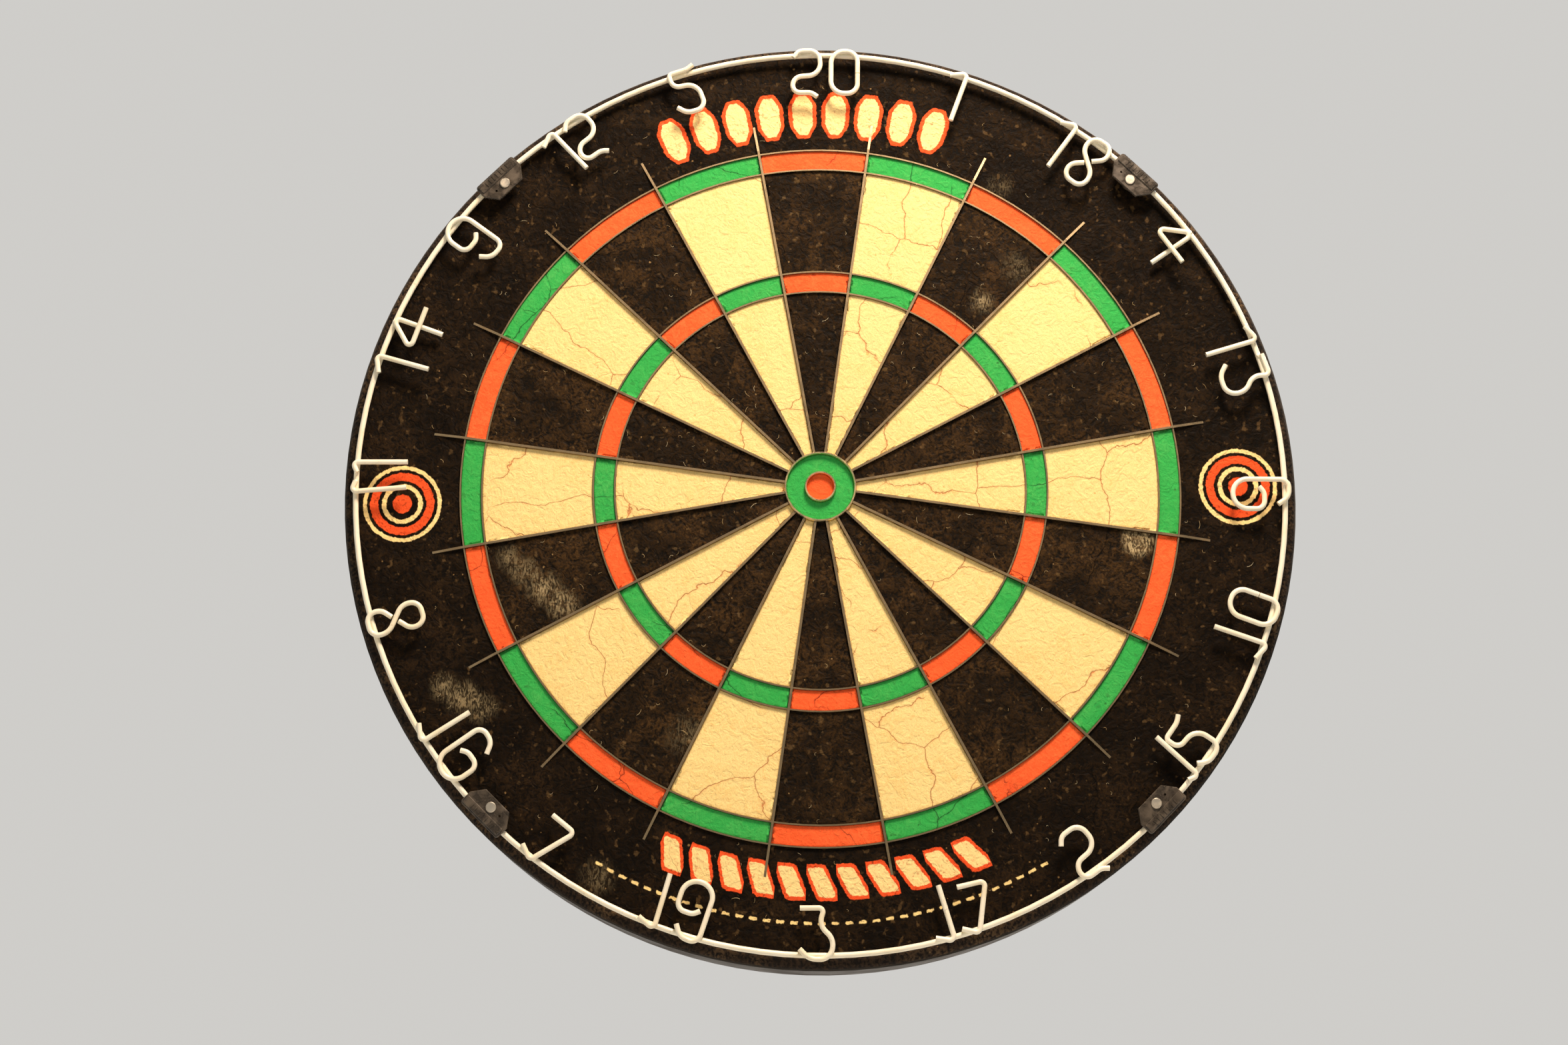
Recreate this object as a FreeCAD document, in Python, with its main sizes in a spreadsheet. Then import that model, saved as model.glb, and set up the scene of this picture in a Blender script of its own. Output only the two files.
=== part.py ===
"""Bristle dartboard with a wire number ring, hung on a slotted wall bracket.

The model is drawn lying on its back: x to the right, y up the wall, z out of the wall.
Every finished piece is then stood up, so that the row frame has +Z up and -Y towards the player.
z is zero on the wall, and the board's axis is x = y = 0.
"""
import FreeCAD, Part
import Sketcher
import math
import os

from FreeCAD import Placement, Rotation, Vector

doc = FreeCAD.newDocument("dartboard")
sheet = doc.addObject("Spreadsheet::Sheet", "sizes")

# ---------------------------------------------------------------- driving sizes (millimetres, degrees)
DRIVING_SIZES = [
    # the board
    ("board_d", 451.0),            # over the steel band
    ("board_thick", 38.0),         # backboard and sisal together
    ("backboard_thick", 10.0),
    ("turning_gap", 0.5),          # front of the bracket to the bush's flange
    ("band_thick", 0.8),
    ("band_setback", 4.5),         # face of the board to the front edge of the band
    ("band_back", 0.5),            # back of the board to the back edge of the band
    ("rim_round", 4.0),            # rounded edge of the sisal
    ("ink_thick", 0.3),
    ("field_inset", 5.2),          # rim of the board to the edge of the black print
    ("clasp_len", 36.0),
    ("clasp_wide", 24.0),
    ("rivet_shank", 3.0),
    ("rivet_head", 5.5),
    ("rivet_dome", 1.2),
    ("rivet_seat", 0.1),           # clasp to the underside of the rivet's head
    # the scoring rings: radii of the middle of each blade
    ("double_outer", 170.2),
    ("double_inner", 160.0),
    ("treble_outer", 107.4),
    ("treble_inner", 97.2),
    ("outer_bull", 16.5),
    ("bull", 6.9),
    # the blade grid
    ("blade_deep", 8.0),           # how far the blades reach into the sisal
    ("ring_blade", 0.7),
    ("ring_proud", 0.8),
    ("radial_blade", 1.1),
    ("radial_proud", 1.2),
    ("tip_reach", 15.0),           # a radial blade's outer end past the double ring
    ("radial_slope", 13.0),        # length of its tapered end
    ("lap_depth", 3.0),            # half-lap notch, down from the face
    ("bull_wall", 1.1),
    ("bull_proud", 2.0),
    ("outer_bull_proud", 1.8),
    ("bull_edge", 0.5),            # rounding of the bull rings' rims
    # the number ring
    ("hoop_inset", 6.5),           # rim of the board to the middle of the hoop's wire
    ("hoop_wire", 2.6),
    ("hoop_rise", 3.4),            # face of the board to the middle of the hoop's wire
    ("digit_wire", 2.4),
    ("weld_sink", 0.3),            # how far a digit's wire sinks into the hoop
    ("digit_over", 1.4),           # how far a digit reaches past the middle of the hoop
    ("digit_bend", 1.9),           # tight bends of the wire, on its centreline
    ("arm_clear", 0.1),            # gap between the arm of a 4 and the stem it passes over
    ("ring_turn", 1.6),            # the ring sits turned a little clockwise
    # the ring clips
    ("clip_long", 24.0),
    ("clip_wide", 12.5),
    ("clip_nose", 15.2),           # inner, shorter edge
    ("clip_side", 6.6),            # straight part of the short sides
    ("clip_plate", 1.6),
    ("clip_band", 5.0),            # width of the raised outer band
    ("clip_band_rise", 0.6),
    ("clip_corner", 1.6),
    ("clip_edge", 0.35),
    ("clip_over_hoop", 0.3),       # gap between the hoop and the clip
    ("clip_pin_inset", 4.3),       # nail to the inner edge
    ("clip_hoop_gap", 0.4),        # boss to the hoop's wire
    ("clip_boss_wall", 1.9),
    ("clip_foot_gap", 0.05),
    ("clip_turn", 0.6),
    ("spare_hole", 1.1),
    ("spare_hole_at", 5.7),
    ("rib_wide", 0.7),
    ("rib_pitch", 2.2),
    ("rib_rise", 0.25),
    ("nail_shank", 1.9),
    ("nail_head", 4.85),
    ("nail_head_thick", 0.8),
    ("nail_head_edge", 0.33),
    ("nail_point", 2.0),           # length of its pointed end
    ("nail_long", 16.0),           # below the clip's plate
    ("nail_fit", 0.05),            # radial running clearance of the clip on its nail
    # the wall bracket
    ("bracket_sheet", 1.5),
    ("bracket_wide", 92.0),
    ("bracket_panel", 40.0),       # flat of the raised panel
    ("bracket_step", 8.0),         # sideways run of each joggle
    ("bracket_above", 28.0),
    ("bracket_below", 30.0),
    ("slot_fit", 0.45),            # slot's side to the screw
    ("slot_mouth", 16.0),
    ("slot_flare", 9.0),           # height of the flared mouth
    ("slot_rest", 0.02),           # hair of clearance under the screw at rest
    ("wall_hole_fit", 0.25),       # radial
    ("wall_hole_x", 37.0),
    ("wall_hole_y", 20.0),
    ("wall_screw", 4.0),
    ("wall_screw_head", 8.0),
    ("wall_screw_head_thick", 2.4),
    ("wall_screw_neck", 0.15),     # how much the plain neck is thicker than the thread, radially
    ("wall_screw_neck_past", 0.4), # how far the neck reaches into the wall
    ("wall_screw_long", 20.0),     # into the wall
    # the hanging screw and its bush
    ("hang_screw", 5.5),
    ("hang_head", 12.0),
    ("hang_head_thick", 3.0),
    ("hang_head_gap", 0.4),        # panel to the underside of the head
    ("hang_crown_gap", 2.6),       # wall to the crown of the head
    ("hang_tip", 1.0),             # bevel of its end
    ("hang_fit", 0.05),            # radial running clearance of the bush on the screw
    ("hang_end_gap", 0.3),
    ("bush_wall", 2.2),
    ("bush_flange", 9.0),
    ("bush_flange_thick", 1.0),
    ("bush_deep", 9.0),
    # the spacer pads on the back
    ("pad_d", 26.0),
    ("pad_inset", 35.5),           # rim of the board to the middle of a pad
    ("pad_edge", 1.0),
    ("pad_recess", 3.0),
    ("pad_recess_gap", 0.5),       # round the screw's head
    ("pad_screw", 3.5),
    ("pad_screw_head", 7.5),
    ("pad_screw_head_sink", 0.8),  # head below the pad's rim
    ("pad_screw_deep", 8.0),
]
SEGMENTS = 20
CLIP_NAMES = ("clip_upper_right", "clip_lower_right", "clip_lower_left", "clip_upper_left")
CLIPS = len(CLIP_NAMES)
PADS = 3
RIBS = 7
RIVET_SPREAD = 0.3      # rivets from the middle of the clasp, as a share of its length and width
OVERCUT = 1.0      # millimetres that a cutting tool runs past the material
# a domed head's outline, as shares of its radius and of its height
DOME = ((1.0, 0.3), (0.8, 0.7), (0.4, 1.0))

for row, (alias, number) in enumerate(DRIVING_SIZES, start=1):
    sheet.set(f"A{row}", alias)
    sheet.set(f"B{row}", str(number))
    sheet.setAlias(f"B{row}", alias)
doc.recompute()


class Size:
    """A number together with the spreadsheet expression that gives it."""

    def __init__(self, number, text):
        self.number = float(number)
        self.text = text

    @staticmethod
    def of(value):
        """Take a Size as it is, and make one from a plain number."""
        return value if isinstance(value, Size) else Size(value, repr(float(value)))

    def __add__(self, other):
        other = Size.of(other)
        return Size(self.number + other.number, f"({self.text} + {other.text})")

    def __sub__(self, other):
        other = Size.of(other)
        return Size(self.number - other.number, f"({self.text} - {other.text})")

    def __mul__(self, other):
        other = Size.of(other)
        return Size(self.number * other.number, f"({self.text} * {other.text})")

    def __truediv__(self, other):
        other = Size.of(other)
        return Size(self.number / other.number, f"({self.text} / {other.text})")

    def __neg__(self):
        return Size(-self.number, f"(-1 * {self.text})")

    __radd__ = __add__
    __rmul__ = __mul__


SIZES = {alias: Size(sheet.get(alias), f"sizes.{alias}") for alias, _ in DRIVING_SIZES}


def size(alias):
    """The driving size with this name."""
    return SIZES[alias]


# ---------------------------------------------------------------- levels and radii that several pieces share
bracket_rise = size("bracket_sheet") + size("hang_head_gap") + size("hang_head_thick") + size("hang_crown_gap")
panel_back = bracket_rise - size("bracket_sheet")
back_level = bracket_rise + size("bush_flange_thick") + size("turning_gap")
face_level = back_level + size("board_thick")
core_bottom = back_level + size("backboard_thick")
core_top = face_level - size("ink_thick")
blade_bottom = face_level - size("blade_deep")
lap_level = face_level - size("lap_depth")
body_radius = size("board_d") / 2 - size("band_thick")
field_outer = size("board_d") / 2 - size("field_inset")
radial_tip = size("double_outer") + size("tip_reach")
hoop_radius = size("board_d") / 2 - size("hoop_inset")
hoop_level = face_level + size("hoop_rise")
digit_level = hoop_level + (size("hoop_wire") + size("digit_wire")) / 2 - size("weld_sink")
clip_under = hoop_level + size("hoop_wire") / 2 + size("clip_over_hoop")
clip_top = clip_under + size("clip_plate")
clip_boss = size("nail_shank") / 2 + size("nail_fit") + size("clip_boss_wall")
clip_pin_radius = hoop_radius - size("hoop_wire") / 2 - size("clip_hoop_gap") - clip_boss
wall_hole_radius = size("wall_screw") / 2 + size("wall_hole_fit")
bore_radius = size("hang_screw") / 2 + size("hang_fit")
bush_radius = bore_radius + size("bush_wall")
pad_at = size("board_d") / 2 - size("pad_inset")
segment_angle = 360.0 / SEGMENTS

STAND_UP = Rotation(Vector(1, 0, 0), 90)
PIECES = []


# ---------------------------------------------------------------- helpers
def bind(obj, name, value):
    """Set a property from a Size and tie it to the sheet."""
    value = Size.of(value)
    obj.setExpression(name, value.text)


def place(obj, x=0, y=0, z=0, turn=None):
    """Put an object at sheet-driven coordinates, turned about z by a plain angle or a Rotation."""
    if turn is not None:
        rotation = turn if isinstance(turn, Rotation) else Rotation(Vector(0, 0, 1), turn)
        obj.Placement = Placement(Vector(), rotation)
    for axis, value in (("x", x), ("y", y), ("z", z)):
        bind(obj, f"Placement.Base.{axis}", value)


def cylinder(name, radius, bottom, top, angle=None, turn=None):
    """A disc or sector about the board's axis between two levels."""
    obj = doc.addObject("Part::Cylinder", name)
    bind(obj, "Radius", radius)
    bind(obj, "Height", Size.of(top) - bottom)
    if angle is not None:
        obj.Angle = angle
    place(obj, z=bottom, turn=turn)
    return obj


def cut(name, base, tool):
    """base without tool."""
    obj = doc.addObject("Part::Cut", name)
    obj.Base = base
    obj.Tool = tool
    return obj


def common(name, base, tool):
    """The part of base that lies in tool."""
    obj = doc.addObject("Part::Common", name)
    obj.Base = base
    obj.Tool = tool
    return obj


def fuse(name, *shapes):
    """Several overlapping shapes as one."""
    obj = doc.addObject("Part::MultiFuse", name)
    obj.Shapes = list(shapes)
    return obj


def group(name, shapes):
    """Several separate shapes kept together."""
    obj = doc.addObject("Part::Compound", name)
    obj.Links = list(shapes)
    return obj


def annulus(name, inner, outer, bottom, top):
    """A flat ring about the board's axis."""
    return cut(name, cylinder(f"{name}_disc", outer, bottom, top), cylinder(f"{name}_hole", inner, bottom, top))


def publish(obj, label, turn=0.0):
    """Name a finished piece, turn it clockwise about the board's axis and stand it up."""
    piece = group(label, [obj])
    piece.Placement = Placement(Vector(), STAND_UP * Rotation(Vector(0, 0, 1), -turn))
    PIECES.append(piece)


def origin_part(body, role):
    """One of a body's own origin planes or axes."""
    return next(feature for feature in body.Origin.OriginFeatures if feature.Role == role)


def outline(body, name, role, corners):
    """A closed outline of straight lines on an origin plane, every corner tied to the sheet."""
    sketch = body.newObject("Sketcher::SketchObject", name)
    sketch.AttachmentSupport = [(origin_part(body, role), "")]
    sketch.MapMode = "FlatFace"
    corners = [(Size.of(x), Size.of(y)) for x, y in corners]
    for (x1, y1), (x2, y2) in zip(corners, corners[1:] + corners[:1]):
        sketch.addGeometry(Part.LineSegment(Vector(x1.number, y1.number, 0), Vector(x2.number, y2.number, 0)))
    for index in range(len(corners)):
        sketch.addConstraint(Sketcher.Constraint("Coincident", index, 2, (index + 1) % len(corners), 1))
    for index, corner in enumerate(corners):
        for kind, axis, value in (("DistanceX", -2, corner[0]), ("DistanceY", -1, corner[1])):
            if value.number == 0:
                sketch.addConstraint(Sketcher.Constraint("PointOnObject", index, 1, axis))
                continue
            ends = (-1, 1, index, 1) if value.number > 0 else (index, 1, -1, 1)
            sketch.addConstraint(Sketcher.Constraint(kind, *ends, abs(value.number)))
            label = f"{kind[-1].lower()}{index}_at"
            sketch.renameConstraint(sketch.ConstraintCount - 1, label)
            sketch.setExpression(f"Constraints.{label}", (value if value.number > 0 else -value).text)
    return sketch


def disc_sketch(body, name, x, y, radius):
    """A circle on the body's XY plane, its centre and radius tied to the sheet."""
    sketch = body.newObject("Sketcher::SketchObject", name)
    sketch.AttachmentSupport = [(origin_part(body, "XY_Plane"), "")]
    sketch.MapMode = "FlatFace"
    x, y, radius = Size.of(x), Size.of(y), Size.of(radius)
    sketch.addGeometry(Part.Circle(Vector(x.number, y.number, 0), Vector(0, 0, 1), radius.number))
    sketch.addConstraint(Sketcher.Constraint("Radius", 0, radius.number))
    sketch.renameConstraint(0, "radius_is")
    sketch.setExpression("Constraints.radius_is", radius.text)
    for kind, axis, value in (("DistanceX", -2, x), ("DistanceY", -1, y)):
        if value.number == 0:
            sketch.addConstraint(Sketcher.Constraint("PointOnObject", 0, 3, axis))
            continue
        ends = (-1, 1, 0, 3) if value.number > 0 else (0, 3, -1, 1)
        sketch.addConstraint(Sketcher.Constraint(kind, *ends, abs(value.number)))
        label = f"{kind[-1].lower()}_at"
        sketch.renameConstraint(sketch.ConstraintCount - 1, label)
        sketch.setExpression(f"Constraints.{label}", (value if value.number > 0 else -value).text)
    return sketch


def pad(body, name, sketch, length, symmetric=False):
    """Raise a sketch by a length, along its normal or to both sides."""
    feature = body.newObject("PartDesign::Pad", name)
    feature.Profile = sketch
    bind(feature, "Length", length)
    if symmetric:
        feature.SideType = "Symmetric"
    return feature


def pocket(body, name, sketch):
    """Cut a sketch through everything, to both sides."""
    feature = body.newObject("PartDesign::Pocket", name)
    feature.Profile = sketch
    feature.Type = "ThroughAll"
    feature.SideType = "Symmetric"
    return feature


def turned(name, profile, x=0, y=0):
    """A turned piece about z: profile is a closed outline in radius and level."""
    body = doc.addObject("PartDesign::Body", name)
    sketch = outline(body, f"{name}_profile", "XZ_Plane", profile)
    feature = body.newObject("PartDesign::Revolution", f"{name}_turning")
    feature.Profile = sketch
    feature.ReferenceAxis = (sketch, ["V_Axis"])
    feature.Angle = 360
    place(body, x=x, y=y)
    return body


def dome(radius, seat, rise):
    """The side of a domed head in radius and level, from its seat up to the edge of its crown."""
    return [(radius * across, seat + rise * up) for across, up in DOME]


def around(radius, angle):
    """The sheet-driven x and y of a point at this radius, at an angle clockwise from the top."""
    return radius * math.sin(math.radians(angle)), radius * math.cos(math.radians(angle))


# ---------------------------------------------------------------- wall bracket and its screws
def build_wall_bracket():
    """Joggled steel strip whose raised panel has an open U slot for the hanging screw."""
    body = doc.addObject("PartDesign::Body", "bracket")
    outer = size("bracket_wide") / 2
    foot = size("bracket_panel") / 2 + size("bracket_step")
    flat = size("bracket_panel") / 2
    sheet_thick = size("bracket_sheet")
    section = [
        (-outer, 0), (-foot, 0), (-flat, panel_back), (flat, panel_back), (foot, 0), (outer, 0),
        (outer, sheet_thick), (foot + sheet_thick / 2, sheet_thick), (flat + sheet_thick / 2, bracket_rise),
        (-flat - sheet_thick / 2, bracket_rise), (-foot - sheet_thick / 2, sheet_thick), (-outer, sheet_thick),
    ]
    strip = pad(body, "strip", outline(body, "strip_section", "XZ_Plane", section), size("bracket_below"))
    strip.SideType = "Two sides"
    bind(strip, "Length2", size("bracket_above"))
    doc.recompute()
    half = size("hang_screw") / 2 + size("slot_fit")
    seat_y = size("slot_fit") - size("slot_rest")
    mouth = size("slot_mouth") / 2
    throat = size("bracket_above") - size("slot_flare")
    top = size("bracket_above") + OVERCUT
    slot = outline(body, "slot_sides", "XY_Plane", [
        (-half, seat_y), (half, seat_y), (half, throat), (mouth, top), (-mouth, top), (-half, throat),
    ])
    pocket(body, "slot", slot)
    pocket(body, "slot_seat", disc_sketch(body, "slot_seat_circle", 0, seat_y, half))
    feature = None
    for index, (side_x, side_y) in enumerate(((-1, -1), (1, -1), (1, 1), (-1, 1))):
        circle = disc_sketch(body, f"wall_hole_{index}_circle", size("wall_hole_x") * side_x,
                             size("wall_hole_y") * side_y, wall_hole_radius)
        feature = pocket(body, f"wall_hole_{index}", circle)
    body.Tip = feature
    publish(body, "wall_bracket")


def build_wall_screws():
    """Four domed-head screws that fasten the bracket's feet to the wall."""
    shank = size("wall_screw") / 2
    head = size("wall_screw_head") / 2
    seat = size("bracket_sheet")
    neck = shank + size("wall_screw_neck")
    neck_end = -size("wall_screw_neck_past")
    profile = [
        (0, -size("wall_screw_long")), (shank, size("wall_screw") - size("wall_screw_long")), (shank, neck_end),
        (neck, neck_end), (neck, seat), (head, seat),
    ]
    profile += dome(head, seat, size("wall_screw_head_thick"))
    profile.append((0, seat + size("wall_screw_head_thick")))
    screws = []
    for index, (side_x, side_y) in enumerate(((-1, -1), (1, -1), (1, 1), (-1, 1))):
        x, y = size("wall_hole_x") * side_x, size("wall_hole_y") * side_y
        screws.append(turned(f"wall_screw_{index}", profile, x, y))
    publish(group("wall_screw_group", screws), "bracket_screws")


# ---------------------------------------------------------------- hanging screw
def build_hanging_screw():
    """Round-head screw that sits in the bracket's slot and carries the board."""
    shank = size("hang_screw") / 2
    head = size("hang_head") / 2
    under_head = panel_back - size("hang_head_gap")
    crown = under_head - size("hang_head_thick")
    tip = back_level + size("bush_deep") - size("hang_end_gap")
    bevel = size("hang_tip")
    profile = [(0, crown)] + dome(head, under_head, -size("hang_head_thick"))[::-1]
    profile += [(head, under_head), (shank, under_head), (shank, tip - bevel), (shank - bevel, tip), (0, tip)]
    publish(turned("hanger", profile), "hanging_screw")


# ---------------------------------------------------------------- the board's body
def build_backboard():
    """Pressed-wood disc behind the sisal, bored for the hanging bush and the pad screws."""
    disc = cylinder("backboard_disc", body_radius, back_level, core_bottom)
    start = back_level - OVERCUT
    holes = [cylinder("backboard_bore", bush_radius, start, back_level + size("bush_deep"))]
    screw_end = back_level + size("pad_screw_deep")
    for index in range(PADS):
        x, y = around(pad_at, 360.0 / PADS * (index + 0.5))
        hole = cylinder(f"pad_screw_hole_{index}", size("pad_screw") / 2, start, screw_end)
        place(hole, x=x, y=y, z=start)
        holes.append(hole)
    publish(cut("backboard_bored", disc, group("backboard_holes", holes)), "backboard")


def build_hanger_bush():
    """Flanged brass bush in the middle of the backboard; the board turns on the screw in it."""
    end = back_level + size("bush_deep")
    flange = back_level - size("bush_flange_thick")
    profile = [
        (bore_radius, flange), (size("bush_flange"), flange), (size("bush_flange"), back_level),
        (bush_radius, back_level), (bush_radius, end), (bore_radius, end),
    ]
    publish(turned("bush", profile), "hanger_bush")


def build_spacer_pads():
    """Three pads that keep the board parallel to the wall, and the screws that hold them."""
    pads = []
    screws = []
    shank = size("pad_screw") / 2
    head = size("pad_screw_head") / 2
    seat = size("pad_recess")
    edge = size("pad_d") / 2
    bevel = size("pad_edge")
    recess = head + size("pad_recess_gap")
    pad_profile = [
        (recess, 0), (edge - bevel, 0), (edge, bevel), (edge, back_level), (shank, back_level), (shank, seat),
        (recess, seat),
    ]
    crown = size("pad_screw_head_sink")
    screw_end = back_level + size("pad_screw_deep")
    screw_profile = [(0, crown)] + dome(head, seat, crown - seat)[::-1]
    screw_profile += [(head, seat), (shank, seat), (shank, screw_end), (0, screw_end)]
    for index in range(PADS):
        x, y = around(pad_at, 360.0 / PADS * (index + 0.5))
        pads.append(turned(f"pad_{index}", pad_profile, x, y))
        screws.append(turned(f"pad_screw_{index}", screw_profile, x, y))
    publish(group("pad_group", pads), "spacer_pads")
    publish(group("pad_screw_group", screws), "pad_screws")


def build_radial_blades():
    """Twenty steel blades between the segments, lapped over the ring blades."""
    body = doc.addObject("PartDesign::Body", "radial_plates")
    start = size("outer_bull")
    crest = face_level + size("radial_proud")
    profile = [
        (start, blade_bottom), (radial_tip, blade_bottom), (radial_tip, face_level),
        (radial_tip - size("radial_slope"), crest), (start, crest),
    ]
    blade = pad(body, "radial_plate", outline(body, "radial_profile", "XZ_Plane", profile),
                size("radial_blade"), symmetric=True)
    fan = body.newObject("PartDesign::PolarPattern", "radial_fan")
    fan.Originals = [blade]
    fan.Axis = (origin_part(body, "Z_Axis"), [""])
    fan.Angle = 360
    fan.Occurrences = SEGMENTS
    body.Tip = fan
    place(body, turn=segment_angle / 2)
    return body


def build_blade_grid(radial_plates):
    """The ring blades, half-lapped into the radial blades, and the two plain bull rings."""
    rings = []
    lower_rings = []
    for name in ("double_outer", "double_inner", "treble_outer", "treble_inner"):
        inner = size(name) - size("ring_blade") / 2
        outer = size(name) + size("ring_blade") / 2
        lower = annulus(f"{name}_lower", inner, outer, blade_bottom, lap_level)
        upper = annulus(f"{name}_upper", inner, outer, lap_level, face_level + size("ring_proud"))
        notched = cut(f"{name}_notched", upper, radial_plates)
        rings.append((fuse(f"{name}_blade", lower, notched), f"{name}_ring"))
        lower_rings.append(lower)
    hub_inner = size("outer_bull") - size("bull_wall")
    hub_outer = size("outer_bull") + size("bull_wall") / 2
    hub = annulus("hub_wall", hub_inner, hub_outer, blade_bottom, face_level + size("outer_bull_proud"))
    radial = cut("radial_lapped", radial_plates, group("lower_ring_group", lower_rings + [hub]))
    bull_rings = []
    edge = size("bull_edge")
    for name in ("outer_bull", "bull"):
        inner = size(name) - size("bull_wall") / 2
        outer = size(name) + size("bull_wall") / 2
        crest = face_level + size(f"{name}_proud")
        profile = [
            (inner, blade_bottom), (outer, blade_bottom), (outer, crest - edge), (outer - edge / 2, crest),
            (inner + edge / 2, crest), (inner, crest - edge),
        ]
        bull_rings.append((turned(f"{name}_turned", profile), f"{name}_ring"))
    return radial, rings, bull_rings


def build_sisal(radial_plates, nail_holes):
    """One disc of compressed fibre with a rounded front edge, slit where the blades stand."""
    slits = [radial_plates] + nail_holes
    for name in ("double_outer", "double_inner", "treble_outer", "treble_inner", "outer_bull", "bull"):
        half = size("bull_wall" if "bull" in name else "ring_blade") / 2
        slits.append(annulus(f"{name}_slit", size(name) - half, size(name) + half, blade_bottom, face_level))
    edge = size("rim_round")
    profile = [(0, core_bottom), (body_radius, core_bottom), (body_radius, core_top - edge)]
    for step in (30, 60):
        reach = edge * (1 - math.cos(math.radians(step)))
        drop = edge * (1 - math.sin(math.radians(step)))
        profile.append((body_radius - reach, core_top - drop))
    profile += [(body_radius - edge, core_top), (0, core_top)]
    disc = turned("sisal_disc", profile)
    publish(cut("sisal_slit", disc, fuse("sisal_slits", *slits)), "sisal_core")


def build_band():
    """Steel band round the board, closed by a riveted clasp at the top."""
    outer = size("board_d") / 2
    bottom = back_level + size("band_back")
    top = face_level - size("band_setback")
    hoop = annulus("band_hoop", body_radius, outer, bottom, top)
    middle = (bottom + top) / 2
    clasp_angle = math.degrees(size("clasp_len").number / outer.number)
    clasp_bottom = middle - size("clasp_wide") / 2
    clasp_top = middle + size("clasp_wide") / 2
    clasp_disc = cylinder("clasp_disc", outer + size("band_thick"), clasp_bottom, clasp_top, clasp_angle,
                          90 - clasp_angle / 2)
    clasp_hole = cylinder("clasp_hole", outer, clasp_bottom, clasp_top)
    clasp = cut("clasp_plate", clasp_disc, clasp_hole)
    shank = size("rivet_shank") / 2
    head = size("rivet_head") / 2
    seat = outer + size("band_thick") + size("rivet_seat")
    profile = [(0, body_radius), (shank, body_radius), (shank, seat), (head, seat)]
    profile += dome(head, seat, size("rivet_dome"))
    profile.append((0, seat + size("rivet_dome")))
    rivets = []
    for index, (side, level) in enumerate(((-1, -1), (1, -1), (1, 1), (-1, 1))):
        angle = side * clasp_angle * RIVET_SPREAD
        rivet = turned(f"rivet_{index}", profile)
        place(rivet, z=middle + size("clasp_wide") * RIVET_SPREAD * level,
              turn=Rotation(Vector(0, 0, 1), -angle) * Rotation(Vector(1, 0, 0), -90))
        rivets.append(rivet)
    rivet_group = group("rivet_group", rivets)
    publish(cut("band_pierced", hoop, rivet_group), "steel_band")
    publish(cut("clasp_pierced", clasp, rivet_group), "band_clasp")
    publish(group("rivet_set", rivets), "band_rivets")


def build_prints(radial_plates, nail_holes):
    """Thin skins of ink on the face, one node for each colour."""
    half = size("ring_blade") / 2
    bull_half = size("bull_wall") / 2

    def skin(name, inner, outer):
        return annulus(name, inner, outer, core_top, face_level)

    multiples = group("multiple_bands", [
        skin("double_band", size("double_inner") + half, size("double_outer") - half),
        skin("treble_band", size("treble_inner") + half, size("treble_outer") - half),
    ])
    singles = group("single_bands", [
        skin("outer_single_band", size("treble_outer") + half, size("double_inner") - half),
        skin("inner_single_band", size("outer_bull") + bull_half, size("treble_inner") - half),
    ])
    wedges = {"even": [], "odd": []}
    for index in range(SEGMENTS):
        parity = "odd" if index % 2 else "even"
        start = 90 - segment_angle * index - segment_angle / 2
        wedges[parity].append(cylinder(f"wedge_{index}", size("double_outer"), core_top, face_level,
                                       segment_angle, start))
    for parity in wedges:
        wedges[parity] = group(f"wedges_{parity}", wedges[parity])
    for bands, parity, label in ((singles, "even", "black_print"), (singles, "odd", "cream_print"),
                                 (multiples, "even", "red_print"), (multiples, "odd", "green_print")):
        cells = common(f"{label}_cells", bands, wedges[parity])
        publish(cut(f"{label}_trimmed", cells, radial_plates), label)
    border = skin("border_band", size("double_outer") + half, field_outer)
    publish(cut("border_trimmed", border, group("border_holes", [radial_plates] + nail_holes)), "border_print")
    outer_bull = skin("outer_bull_skin", size("bull") + bull_half, size("outer_bull") - bull_half)
    publish(outer_bull, "outer_bull_print")
    publish(cylinder("bull_skin", size("bull") - bull_half, core_top, face_level), "bull_print")


# ---------------------------------------------------------------- number ring
def bent_wire(points, tight):
    """A wire's centreline: straight runs joined by tangent arcs.

    A point is (Vector, is_tight). A tight corner has the least bend radius, any other corner is
    as round as its two runs allow.
    """
    edges = []
    start = points[0][0]
    for index in range(1, len(points) - 1):
        before, (corner, is_tight), after = points[index - 1][0], points[index], points[index + 1][0]
        into = (corner - before).normalize()
        away = (after - corner).normalize()
        half_turn = into.getAngle(away) / 2
        reach = 0.49 * min((corner - before).Length, (after - corner).Length)
        if is_tight:
            reach = min(reach, tight * math.tan(half_turn))
        radius = reach / math.tan(half_turn)
        first = corner - into * reach
        last = corner + away * reach
        inward = (away - into).normalize()
        middle = corner + inward * (radius / math.cos(half_turn) - radius)
        edges.append(Part.LineSegment(start, first).toShape())
        edges.append(Part.Arc(first, middle, last).toShape())
        start = last
    edges.append(Part.LineSegment(start, points[-1][0]).toShape())
    return Part.Wire(edges)


TIGHT = True
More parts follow.
